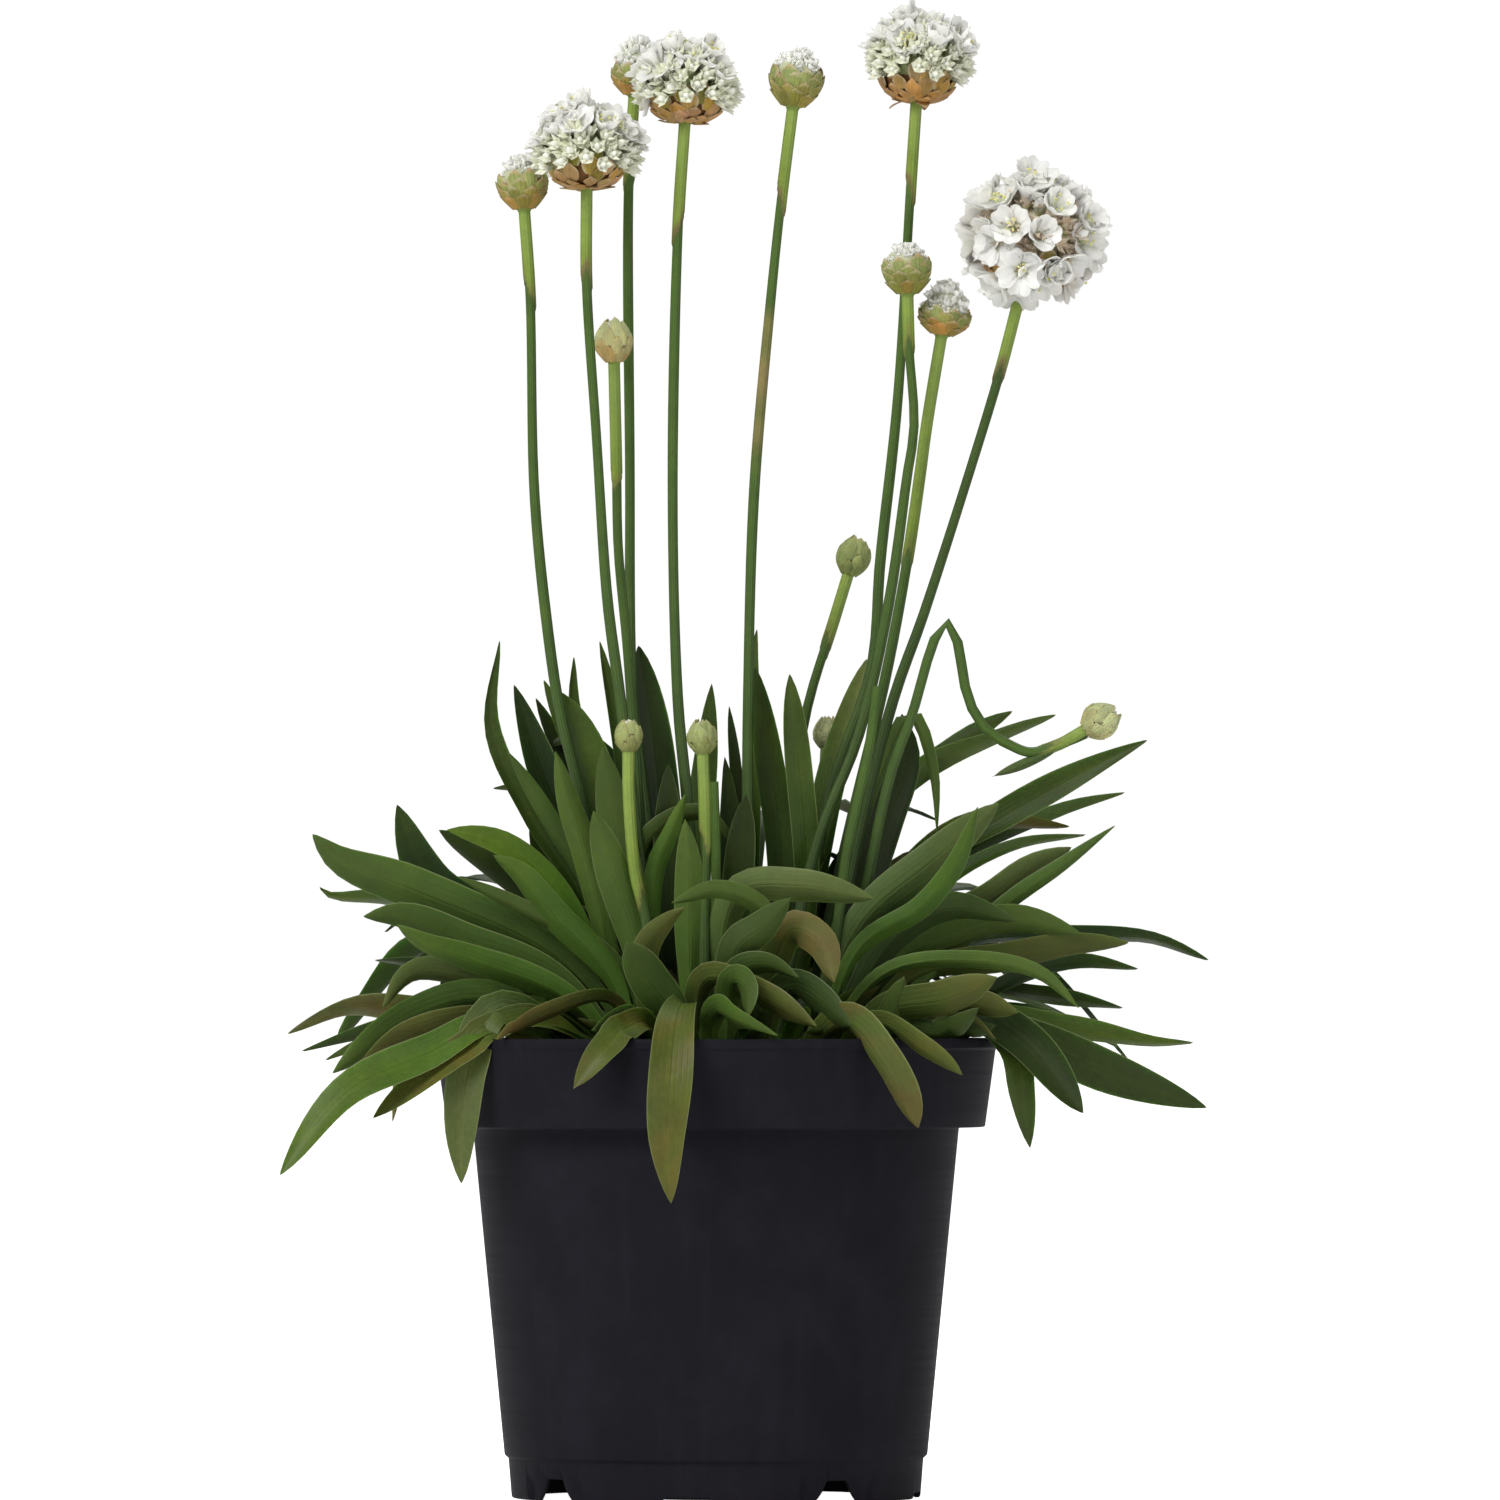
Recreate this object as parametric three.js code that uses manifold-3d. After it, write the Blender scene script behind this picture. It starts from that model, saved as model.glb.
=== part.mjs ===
// Potted sea thrift in flower, in millimetres, +Z up, seen from -Y.
// The origin is the middle of the pot's foot, on the surface that the pot stands on.
import * as THREE from "three";
import { mergeVertices } from "three/addons/utils/BufferGeometryUtils.js";
import Module from "manifold-3d";

const wasm = await Module();
wasm.setup();

// Driving dimensions
const POT_HEIGHT = 106;
const RIM_RADIUS = 65;
const COLLAR_FOOT_RADIUS = 62.1;
const COLLAR_FOOT_HEIGHT = 85.5;
const BODY_TOP_RADIUS = 56.1;
const BODY_FOOT_RADIUS = 48.8;
const BAND_HEIGHT = 9.2;
const BAND_RADIUS = 47.9;
const WALL = 1.3;
const LIP_EDGE = 1.2;
const LIP_WIDTH = 1.0;
const LIP_OUT = RIM_RADIUS - 0.4;
const LIP_IN = LIP_OUT - LIP_WIDTH;
const FLOOR_UNDERSIDE = 5.5;
const FOOT_DISC_RADIUS = 19;
const DEEP_NOTCH_FACING = [-53, 37, 127, 217];
const SHALLOW_NOTCH_FACING = [-8, 82, 172, 262];
const DRAIN_COUNT = 4;
const DRAIN_RADIUS = 3.5;
const DRAIN_RING = 33;
const SOIL_HEIGHT = 95;
const CROWN = { x: 2, y: -5, z: 94, wide: 37, deep: 34, high: 9 };
const CLEARANCE = 0.35;
const CUP_CLEARANCE = 0.55;
const STALK_RADIUS = 1.15;
const SHEATH_RADIUS = 1.4;
const SOCKET_RADIUS = 1.9;
const SOCKET_DEPTH = 2.0;
const STALK_SEAT = 1.6;
const BLADE_THICKNESS = 1.0;
const BLADE_CHANNEL = 0.22;
const PETALS = 5;

// Openings in the pot's foot band, as outlines x, z seen from outside: a flared slot in a shallow
// recess of RECESS_DEPTH, and a low flat one between each two.
const SLOT = [[-6.2, -1], [-5.4, 1.4], [-3.6, 3.4], [-3, 5], [3, 5], [3.6, 3.4], [5.4, 1.4], [6.2, -1]];
const RECESS = [[-10.5, -1], [-10.5, 5.8], [10.5, 5.8], [10.5, -1]];
const LOW_NOTCH = [[-6, -1], [-6, 0.8], [-5.4, 1.4], [5.4, 1.4], [6, 0.8], [6, -1]];
const RECESS_DEPTH = 1.1;
const NOTCH_FROM = 41;
const NOTCH_TO = 52;

const POT_SIDES = 36;
const SOIL_SIDES = 24;
const CROWN_SIDES = 18;
const STALK_SIDES = 5;
const ROOM_SIDES = 4;
const BRACT_SIDES = 10;
const DRAIN_SIDES = 8;
const SOCKET_SIDES = 12;

const PAINT = {
  pot: { color: 0x1b1c1f, roughness: 0.55 },
  peat: { color: 0x2e2018, roughness: 0.95 },
  leaf: { color: 0x3f6b2c, roughness: 0.5 },
  stalk: { color: 0x3d6b3a, roughness: 0.5 },
  bract: { color: 0x8a7a42, roughness: 0.7 },
  greenBud: { color: 0xa9b878, roughness: 0.7 },
  petal: { color: 0xf4f3ec, roughness: 0.6 },
};

// Leaves seen from the front. Each row: root x and y, y of the tip, width, how far the blade turns
// its face to the front (0 to 1), and the points x, z (or x, y, z) that it passes on the way to its tip.
const FRONT_LEAVES = [
  [-14, 4, 4, 5, 0.7, [-32, 140], [-43, 157], [-52, 178], [-50, 198]],
  [-15, 12, 20, 9, 0.8, [-32, 150], [-39, 165], [-47, 188]],
  [-12, 16, 26, 7, 0.6, [-30, 158], [-42, 185]],
  [-10, 12, 14, 6, 0.7, [-28, 160], [-40, 189]],
  [-12, 6, 6, 10, 0.9, [-26, 161], [-31, 176], [-36, 186]],
  [-10, 10, 10, 5, 0.8, [-20, 160], [-23, 179], [-27, 198]],
  [-8, 18, 24, 7, 0.6, [-20, 163], [-32, 176], [-40, 173]],
  [-10, 14, 26, 6, 0.6, [-27, 156], [-37, 164], [-52, 164]],
  [-16, 2, -2, 5, 0.7, [-27, 136], [-37, 154], [-48, 172]],
  [-18, -4, -6, 7, 0.9, [-30, 148], [-34, 160], [-37, 172]],
  [-16, 8, 14, 11.5, 1.0, [-48, 131], [-64, 140], [-69, 147], [-74, 160]],
  [-14, 2, 4, 10, 0.7, [-40, 136], [-52, 146], [-64, 154]],
  [-16, -4, -4, 8, 0.7, [-37, 140], [-48, 150], [-56, 153], [-62, 154]],
  [-16, -10, -16, 8, 0.8, [-24, 120], [-37, 134], [-45, 144], [-51, 148]],
  [-12, -4, -8, 11, 0.8, [-34, 123], [-69, 140], [-87, 147], [-93, 153]],
  [-14, 10, 16, 7, 0.5, [-54, 130], [-75, 138], [-90, 139], [-92, 141]],
  [-14, -8, -14, 10, 0.7, [-37, 120], [-58, 128], [-72, 134], [-81, 134]],
  [-16, -14, -24, 9, 0.7, [-32, 114], [-56, 124], [-67, 128], [-73, 132]],
  [-16, 8, 12, 6, 0.5, [-50, 118], [-69, 123], [-79, 124]],
  [-12, -10, -14, 5, 0.7, [-23, 123], [-41, 134], [-59, 143]],
  [-18, 10, 10, 10, 0.8, [-30, 125], [-38, 145], [-43, 156]],
  [-16, 0, -2, 9, 0.5, [-40, 116], [-57, 120], [-70, 121], [-77, 113]],
  [-18, 4, 2, 9, 0.5, [-45, 115], [-68, 112], [-84, 113], [-99, 107]],
  [-18, 12, 14, 6, 0.4, [-42, 114], [-62, 111], [-81, 107], [-96, 103]],
  [-16, -2, -6, 6, 0.5, [-40, 114], [-59, 111], [-78, 106], [-90, 101]],
  [-18, -8, -18, 10, 0.7, [-51, 115], [-70, 111], [-88, 98]],
  [-16, -14, -30, 9, 0.6, [-45, 110], [-70, 107], [-83, 98]],
  [-18, -12, -54, 10, 0.8, [-50, -34, 110], [-65, -40, 103], [-84, -48, 94], [-99, -54, 75]],
  [-16, -16, -44, 9, 0.7, [-42, -33, 111], [-57, -39, 104], [-78, 88]],
  [-14, -14, -40, 10, 0.9, [-50, -35, 113], [-56, -38, 101], [-58, -40, 87], [-58, 73]],
  [-14, -14, -46, 6, 0.4, [-24, 115], [-38, 112], [-50, 106]],
  [-6, 10, 14, 10, 0.9, [-11, 145], [-14, 170], [-18, 197]],
  [-12, -8, -12, 9, 0.9, [-18, 131], [-23, 154], [-26, 173]],
  [-13, -16, -26, 9, 0.9, [-18, 126], [-24, 145], [-28, 158]],
  [-2, 6, 8, 7, 0.9, [-4, 150], [-2, 175], [-1, 188]],
  [-8, -4, -6, 8, 0.8, [-11, 145], [-11, 169]],
  [-14, -14, -22, 5, 0.9, [-14, 144], [-10, 154], [-7, 162]],
  [-18, 0, -10, 6, 0.7, [-17, 150], [-4, 158], [6, 149]],
  [-5, -16, -28, 8, 0.9, [-6, 128], [-6, 142], [-7, 156]],
  [13, 4, 6, 8, 0.9, [15, 150], [12, 172], [9, 192]],
  [18, -2, -4, 7, 0.9, [21, 144], [19, 170], [17, 190]],
  [16, 12, 18, 8, 0.9, [26, 163], [31, 180], [35, 194]],
  [4, 14, 18, 3.5, 0.7, [5, 161], [3, 183]],
  [3, -8, -12, 8, 0.8, [5, 141], [7, 162]],
  [0, -14, -38, 9, 0.9, [5, 139], [19, 141], [36, 138]],
  [12, -20, -40, 5, 0.8, [12, 134], [1, 140], [-10, 137]],
  [2, -26, -46, 9, 0.9, [5, 127], [10, 131], [17, 138]],
  [8, -16, -48, 9, 0.9, [17, 131], [24, 128], [27, 119]],
  [-12, -26, -46, 7, 0.6, [-16, 126], [-11, 133], [-7, 136]],
  [-6, -32, -50, 10, 0.8, [-10, 112], [-15, 119], [-20, 128]],
  [0, -24, -50, 7, 0.6, [5, 121], [12, 123], [19, 120]],
  [2, -30, -58, 8, 0.8, [4, -46, 119], [7.5, -55, 117], [7.5, 111]],
  [-6, -24, -58, 9, 0.6, [-2, 120], [12, 115], [23, 109]],
  [6, -20, -54, 9, 0.7, [17, 118], [31, 109]],
  [-2, -34, -66, 8, 0.5, [0, -50, 112], [5, -62, 110.5], [14, 107]],
  [-6, -30, -72, 11, 0.3, [-7, -48, 114], [-9, -64, 110], [-10, -72, 98], [-11, -73, 84], [-10, 69]],
  [-12, -32, -66, 8, 0.6, [-16, -52, 110], [-25, -64, 104], [-32, 95]],
  [-14, -32, -60, 7, 0.5, [-20, 111], [-28, 108]],
  [14, -26, -58, 11, 0.6, [30, -52, 110], [38, -60, 101], [46, 86]],
  [22, -28, -52, 7, 0.5, [36, -46, 110], [47, -54, 104], [56, 98]],
  [30, -28, -36, 6, 0.7, [40, 112], [43, 120]],
  [14, 10, 16, 8, 0.6, [41, 162], [66, 176], [79, 181]],
  [12, 14, 26, 8, 0.6, [40, 160], [56, 174], [69, 182]],
  [20, 4, 8, 10, 0.9, [39, 156], [44, 171], [43, 181]],
  [18, 6, 8, 8, 0.7, [40, 140], [66, 157], [88, 169], [100, 175]],
  [18, 14, 20, 6, 0.5, [45, 140], [78, 158], [95, 163]],
  [20, 10, 14, 7, 0.5, [40, 140], [60, 155], [82, 155]],
  [20, 0, -2, 10, 0.8, [45, 128], [64, 138], [73, 145], [82, 150]],
  [22, -4, -8, 5, 0.7, [66, 136], [80, 146], [92, 155]],
  [18, -10, -16, 10, 0.9, [33, 132], [50, 147], [65, 160]],
  [20, -18, -28, 6, 0.9, [33, 127], [47, 136], [55, 146], [60, 159]],
  [20, -10, -18, 9, 0.6, [42, 130], [54, 136], [69, 133]],
  [22, -6, -12, 9, 0.6, [38, 122], [53, 129], [68, 133], [84, 130]],
  [24, 6, 6, 7, 0.5, [56, 127], [84, 129], [100, 129], [114, 124]],
  [22, -4, -8, 10, 0.5, [45, 120], [66, 124], [80, 127], [95, 128]],
  [18, -20, -36, 5, 0.7, [38, 121], [58, 124], [74, 121], [83, 113]],
  [22, 4, 6, 6, 0.4, [54, 118], [74, 116], [94, 113]],
  [24, -2, -6, 7, 0.4, [58, 112], [82, 108], [100, 105], [110, 105]],
  [24, -6, -10, 11, 0.8, [58, 110], [72, 106], [90, 98], [113, 90]],
  [22, -12, -32, 10, 0.8, [54, 113], [70, 106], [84, 89]],
  [24, -6, -26, 8, 0.8, [56, -18, 112], [68, -24, 104], [70, -26, 94], [72, 81]],
  [24, -24, -42, 10, 0.7, [38, 112], [52, 115], [64, 120]],
  [24, -18, -32, 9, 0.6, [44, 113], [58, 114], [69, 112]],
  [24, 8, 12, 8, 0.4, [50, 114], [68, 112], [83, 109]],
  [24, 0, 2, 7, 0.5, [52, 111], [70, 107], [84, 98]],
  [18, -2, -8, 3.5, 0.7, [38, 168], [45, 181], [50, 168], [51, 153]],
];

// Leaves behind, spread by rule over the far side of the rosette.
const BACK = { count: 22, from: 22, to: 158, reach: [62, 92], tall: [96, 168], width: [6, 10] };

// Flower stalks from the crown up: y at the root and at the head, points x, z, and the sheath below the head.
const STALKS = [
  { name: "a", y: [2, 4], sheath: 20, way: [
    [-19, 92], [-30, 156], [-36, 181], [-39, 201], [-42, 232], [-43, 277], [-44.4, 298]
  ] },
  { name: "b", y: [-8, -8], sheath: 22, way: [
    [-11, 92], [-22, 184], [-25, 207], [-27.5, 244], [-29.8, 280], [-29.8, 302]
  ] },
  { name: "c", y: [8, 14], sheath: 21, way: [
    [-10, 92], [-14, 139], [-18, 171], [-19.6, 188], [-20, 238], [-20.3, 303], [-19, 325]
  ] },
  { name: "d", y: [-2, -4], sheath: 25, way: [
    [-4, 92], [-6.2, 155], [-8.8, 184], [-10, 232], [-8.8, 292], [-7.2, 317.5]
  ] },
  { name: "e", y: [2, 0], sheath: 22, way: [
    [6, 92], [7.2, 145], [7.4, 184], [8.8, 232], [12.5, 275], [15, 299], [17.8, 321.5]
  ] },
  { name: "f", y: [12, 8], sheath: 21, way: [
    [15, 92], [26, 161], [36, 192], [38, 216], [42, 253], [45, 302], [46.4, 323]
  ] },
  { name: "g", y: [-8, -4], sheath: 14, way: [
    [11, 92], [23, 150], [33, 176], [40, 207], [44, 235], [45.7, 247], [44.6, 265], [44.2, 278]
  ] },
  { name: "h", y: [2, 2], sheath: 54, way: [
    [17, 92], [30, 151], [39, 188.5], [44, 215], [47, 235], [48.6, 247], [52.2, 268.8]
  ] },
  { name: "i", y: [-4, -8], sheath: 22, way: [
    [20, 92], [40, 181], [48, 204], [58, 235], [65.6, 260], [70.5, 279]
  ] },
  { name: "j", y: [2, 3], sheath: 26, way: [
    [-14, 92], [-18, 161], [-20.3, 194.5], [-22.6, 219], [-23, 237], [-23.6, 262.5]
  ] },
  { name: "k", y: [17, 22], sheath: 18, way: [
    [12, 92], [19, 170], [21.5, 184], [27.4, 203], [30.7, 213.8]
  ] },
  { name: "l", y: [0, -15], sheath: 12, way: [
    [26, 92], [40, 166], [45, 180], [50.4, 198], [52.8, 201.5], [54.8, 199.5], [56, 194.5],
    [58.2, 183.5], [62.4, 176.7], [67.5, 173.5], [72.3, 171.8], [79, 173.6], [85, 177]
  ] },
  { name: "m", y: [-20, -26], sheath: 36, way: [
    [-14, 92], [-16, 133], [-18.5, 144], [-20, 163], [-20, 172]
  ] },
  { name: "n", y: [-22, -26], sheath: 20, way: [[-3, 92], [-2.5, 155], [-3, 171.5]] },
  { name: "o_cut", y: [-14, -14], sheath: 0, way: [[-1, 92], [0, 123], [0, 136], [0, 150], [-0.5, 165]] },
  { name: "q_cut", y: [-12, -14], sheath: 0, way: [
    [24, 92], [30, 148], [32, 157.5], [35.3, 173], [37.2, 187]
  ] },
  { name: "r", y: [21, 26], sheath: 8, way: [[21, 92], [24.5, 154], [25.6, 173.5]] },
];
const STALK_L_TAIL = { from: [85, -15, 176], to: [64, -14.4, 166.3], width: 2.2 };

// Heads: open flowers (radius of the ball, its middle above the stalk, lowest florets in degrees,
// number of florets), half-open buds and closed buds (radius and height).
const FLOWERS = {
  b: { radius: 14.2, middle: 9, lowest: -20, florets: 13 },
  d: { radius: 13.4, middle: 8.2, lowest: -22, florets: 12 },
  f: { radius: 13.8, middle: 9.4, lowest: -22, florets: 12 },
  i: { radius: 17.6, middle: 13, lowest: -58, florets: 21 },
};
const HALF_OPEN = {
  a: { radius: 5.6, height: 12.8 },
  c: { radius: 5.3, height: 14 },
  e: { radius: 6.1, height: 14 },
  g: { radius: 5.5, height: 11.8 },
  h: { radius: 5.9, height: 12.6 },
};
const CLOSED = {
  j: { radius: 4.4, height: 9.8 },
  k: { radius: 3.9, height: 8.8 },
  l: { radius: 4.1, height: 8.6 },
  m: { radius: 3.0, height: 7.4 },
  n: { radius: 3.3, height: 7.4 },
  r: { radius: 3.1, height: 7.0 },
};
const HEADS = { ...FLOWERS, ...HALF_OPEN, ...CLOSED };

const rad = THREE.MathUtils.degToRad;
const vec = (x, y, z) => new THREE.Vector3(x, y, z);

// A repeatable draw from 0 to 1 for item i and question k.
function draw(i, k) {
  const s = Math.sin(i * 12.9898 + k * 78.233) * 43758.5453;
  return s - Math.floor(s);
}

const mix = (a, b, t) => a + (b - a) * t;

// The smooth step from 0 at t = 0 to 1 at t = 1.
function ease(t) {
  const u = Math.min(1, Math.max(0, t));
  return u * u * (3 - 2 * u);
}

// Points round a full turn, each made from its cosine, its sine and its number.
function circle(count, phase, pointAt) {
  return Array.from({ length: count }, (_, k) => {
    const turn = ((k + phase) / count) * 2 * Math.PI;
    return pointAt(Math.cos(turn), Math.sin(turn), k);
  });
}

// A closed body through rings of equal count, with a point at each end.
function loft(start, rings, end) {
  const count = rings[0].length;
  const points = [start, ...rings.flat(), end];
  const last = points.length - 1;
  const at = (ring, k) => 1 + ring * count + (k % count);
  const faces = [];
  for (let k = 0; k < count; k++) {
    faces.push(0, at(0, k + 1), at(0, k));
    for (let ring = 0; ring + 1 < rings.length; ring++) {
      const [a, b, c, d] = [at(ring, k), at(ring, k + 1), at(ring + 1, k + 1), at(ring + 1, k)];
      const cut = k % 2 ? [a, b, c, a, c, d] : [a, b, d, b, c, d];
      faces.push(...cut);
    }
    faces.push(last, at(rings.length - 1, k), at(rings.length - 1, k + 1));
  }
  const geometry = new THREE.BufferGeometry();
  geometry.setAttribute("position", new THREE.Float32BufferAttribute(points.flatMap((p) => p.toArray()), 3));
  geometry.setIndex(faces);
  return geometry;
}

function toSolid(geometry) {
  const bare = geometry.clone();
  const extras = Object.keys(bare.attributes).filter((name) => name !== "position");
  extras.forEach((name) => bare.deleteAttribute(name));
  const merged = mergeVertices(bare, 1e-4);
  return new wasm.Manifold(new wasm.Mesh({
    numProp: 3,
    vertProperties: new Float32Array(merged.attributes.position.array),
    triVerts: new Uint32Array(merged.index.array),
  }));
}

function toGeometry(solid) {
  const { vertProperties, triVerts, numProp } = solid.getMesh();
  const geometry = new THREE.BufferGeometry();
  const positions = [];
  for (let i = 0; i < vertProperties.length; i += numProp) {
    positions.push(vertProperties[i], vertProperties[i + 1], vertProperties[i + 2]);
  }
  geometry.setAttribute("position", new THREE.Float32BufferAttribute(positions, 3));
  geometry.setIndex(Array.from(triVerts));
  geometry.computeVertexNormals();
  return geometry;
}

// The biggest separate body of a solid, without loose scraps.
function mainBody(solid) {
  const bodies = solid.decompose();
  return bodies.reduce((best, body) => (body.volume() > best.volume() ? body : best));
}

// Pot: one turned wall with a stepped collar, a foot band and a floor on a central disc.
function potProfile() {
  return [
    [0, 0], [FOOT_DISC_RADIUS, 0], [FOOT_DISC_RADIUS + 1.5, FLOOR_UNDERSIDE],
    [BAND_RADIUS - 2.2, FLOOR_UNDERSIDE], [BAND_RADIUS - 2, 0], [BAND_RADIUS - 0.9, 0],
    [BAND_RADIUS - 0.3, 0.8], [BAND_RADIUS, BAND_HEIGHT], [BODY_FOOT_RADIUS, BAND_HEIGHT + 0.6],
    [BODY_TOP_RADIUS, COLLAR_FOOT_HEIGHT], [COLLAR_FOOT_RADIUS, COLLAR_FOOT_HEIGHT],
    [RIM_RADIUS, POT_HEIGHT - LIP_EDGE], [LIP_OUT, POT_HEIGHT], [LIP_IN, POT_HEIGHT],
    [COLLAR_FOOT_RADIUS - WALL, COLLAR_FOOT_HEIGHT + WALL],
    [BODY_TOP_RADIUS - WALL, COLLAR_FOOT_HEIGHT + WALL],
    [BAND_RADIUS - WALL, FLOOR_UNDERSIDE + WALL], [FOOT_DISC_RADIUS + 0.2, FLOOR_UNDERSIDE + WALL],
    [FOOT_DISC_RADIUS - WALL, WALL], [0, WALL],
  ];
}

// A solid turned round the Z axis from an outline of radius and height.
function lathed(outline) {
  const profile = outline.map(([r, z]) => new THREE.Vector2(r, z));
  return toSolid(new THREE.LatheGeometry(profile, POT_SIDES).rotateX(Math.PI / 2));
}

// The collar with CLEARANCE all round, which leaves that hang over it keep out of.
function collarRoom() {
  const inside = COLLAR_FOOT_RADIUS - WALL - CLEARANCE;
  const under = COLLAR_FOOT_HEIGHT - CLEARANCE;
  const over = POT_HEIGHT + CLEARANCE;
  return lathed([
    [inside, under], [COLLAR_FOOT_RADIUS + CLEARANCE, under],
    [RIM_RADIUS + CLEARANCE, POT_HEIGHT - LIP_EDGE],
    [LIP_OUT + CLEARANCE, over], [LIP_IN - CLEARANCE, over], [inside, under],
  ]);
}

// A block seen from the side of the pot: an outline x, z pushed along the radius and turned to a bearing,
// where 0 degrees faces -Y and positive turns towards +X.
function notchCutter(outline, from, facing) {
  const shape = new THREE.Shape(outline.map(([x, z]) => new THREE.Vector2(x, z)));
  const geometry = new THREE.ExtrudeGeometry(shape, { depth: NOTCH_TO - from, bevelEnabled: false });
  geometry.rotateX(Math.PI / 2);
  geometry.translate(0, -from, 0);
  geometry.rotateZ(rad(facing));
  return toSolid(geometry);
}

function makePot() {
  const cuts = DEEP_NOTCH_FACING.flatMap((facing) => [
    notchCutter(SLOT, NOTCH_FROM, facing), notchCutter(RECESS, BAND_RADIUS - RECESS_DEPTH, facing),
  ]);
  cuts.push(...SHALLOW_NOTCH_FACING.map((facing) => notchCutter(LOW_NOTCH, NOTCH_FROM, facing)));
  cuts.push(...circle(DRAIN_COUNT, 0, (cos, sin) => {
    const hole = new THREE.CylinderGeometry(DRAIN_RADIUS, DRAIN_RADIUS, WALL + 4, DRAIN_SIDES);
    hole.rotateX(Math.PI / 2);
    hole.translate(DRAIN_RING * cos, DRAIN_RING * sin, FLOOR_UNDERSIDE);
    return toSolid(hole);
  }));
  return lathed(potProfile()).subtract(wasm.Manifold.union(cuts));
}

// Peat: fills the pot to SOIL_HEIGHT, with a crumbly top.
function makeSoil(grow = 0) {
  const top = SOIL_HEIGHT + grow;
  const wallAt = (z) => {
    const t = (z - FLOOR_UNDERSIDE) / (COLLAR_FOOT_HEIGHT - FLOOR_UNDERSIDE);
    return mix(BAND_RADIUS, BODY_TOP_RADIUS, t) - WALL - CLEARANCE - 0.5;
  };
  const ring = (radius, height, rough) => circle(SOIL_SIDES, 0, (cos, sin, k) => (
    vec(radius * cos, radius * sin, height + (draw(k, radius) - 0.5) * rough)
  ));
  const floorTop = FLOOR_UNDERSIDE + WALL + CLEARANCE;
  const step = COLLAR_FOOT_HEIGHT + WALL + CLEARANCE;
  const collarRadius = COLLAR_FOOT_RADIUS - WALL - CLEARANCE - 0.3;
  const rings = [
    ring(wallAt(floorTop), floorTop, 0), ring(wallAt(step), step, 0), ring(collarRadius, step, 0),
    ring(collarRadius + 0.5, top - 1.5, 0), ring(56, top - 0.3, 1.6),
    ring(49, top + 0.4, 2.2), ring(42, top - 0.2, 2.0), ring(30, top, 1.6),
  ];
  const soil = toSolid(loft(vec(0, 0, floorTop), rings, vec(0, 0, top)));
  return soil.subtract(crownMound(CLEARANCE));
}

// Crown: the low mound of packed leaf bases that every leaf and stalk grows from.
function crownMound(grow = 0) {
  const rings = [-0.95, -0.6, 0, 0.55, 0.88].map((level) => {
    const spread = Math.sqrt(1 - level ** 4);
    return circle(CROWN_SIDES, 0, (cos, sin) => vec(
      CROWN.x + (CROWN.wide + grow) * spread * cos,
      CROWN.y + (CROWN.deep + grow) * spread * sin,
      CROWN.z + (CROWN.high + grow) * level,
    ));
  });
  const pole = (side) => vec(CROWN.x, CROWN.y, CROWN.z + side * (CROWN.high + grow));
  return toSolid(loft(pole(-1), rings, pole(1)));
}

// Keeps a leaf's middle line above or outside the pot's rim.
function clearRim(point) {
  const reach = RIM_RADIUS + 4;
  const top = POT_HEIGHT + 2.6;
  const radius = Math.hypot(point.x, point.y);
  if (radius < RIM_RADIUS - 8 || radius >= reach || point.z >= top) {
    return point;
  }
  const lift = top - point.z;
  const push = reach - radius;
  const over = vec(point.x, point.y, top);
  const outside = vec(point.x * reach / radius, point.y * reach / radius, point.z);
  return lift <= push * 1.3 ? over : outside;
}

// Blade outline: half width, 1 at most, at s from 0 at the root to 1 at the tip.
function bladeWidth(s) {
  const widest = 0.68;
  const t = Math.max(0, (s - widest) / (1 - widest));
  return s < widest ? 0.34 + 0.66 * ease((s - 0.08) / (widest - 0.08)) : (1 - t ** 2.3) ** 0.8;
}

// A blade is three-sided across a curved middle line: a keel below and two edges raised into a channel.
function makeBlade(points, width, turn) {
  const curve = new THREE.CatmullRomCurve3(points, false, "centripetal");
  const length = curve.getLength();
  const steps = [45, 95].filter((limit) => length > limit).length + 3;
  const heading = vec(points.at(-1).x - points[0].x, points.at(-1).y - points[0].y, 0);
  if (heading.length() < 6) {
    heading.set(points[0].x - CROWN.x, 20, 0);
  }
  heading.normalize();
  const level = vec(-heading.y, heading.x, 0);
  if (level.y > 0) {
    level.negate();
  }
  const frame = (s) => {
    const tangent = curve.getTangentAt(s);
    const side = level.clone().addScaledVector(tangent, -level.dot(tangent)).normalize();
    const face = tangent.clone().cross(side).normalize();
    const inward = face.dot(vec(-heading.x * 0.4, -heading.y * 0.4, 1));
    if (inward < 0) {
      face.negate();
    }
    const front = vec(0, -1, 0);
    const angle = Math.atan2(side.dot(front), face.dot(front)) * turn * ease(s / 0.5);
    const turnedFace = face.clone().multiplyScalar(Math.cos(angle)).addScaledVector(side, Math.sin(angle));
    const turnedSide = turnedFace.clone().cross(tangent).normalize();
    return { turnedFace, turnedSide };
  };
  const rings = [];
  for (let k = 0; k < steps; k++) {
    const s = (k / steps) ** 0.9;
    const middle = clearRim(curve.getPointAt(s));
    const { turnedFace, turnedSide } = frame(s);
    const half = (width / 2) * bladeWidth(s);
    const thick = BLADE_THICKNESS * mix(1, 0.75, s);
    const raise = half * BLADE_CHANNEL;
    rings.push([
      middle.clone().addScaledVector(turnedFace, -thick / 2),
      middle.clone().addScaledVector(turnedSide, half).addScaledVector(turnedFace, raise),
      middle.clone().addScaledVector(turnedSide, -half).addScaledVector(turnedFace, raise),
    ]);
  }
  const start = points[0].clone().addScaledVector(curve.getTangentAt(0), -0.8);
  return toSolid(outward(loft(start, rings, clearRim(points.at(-1)))));
}

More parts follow.
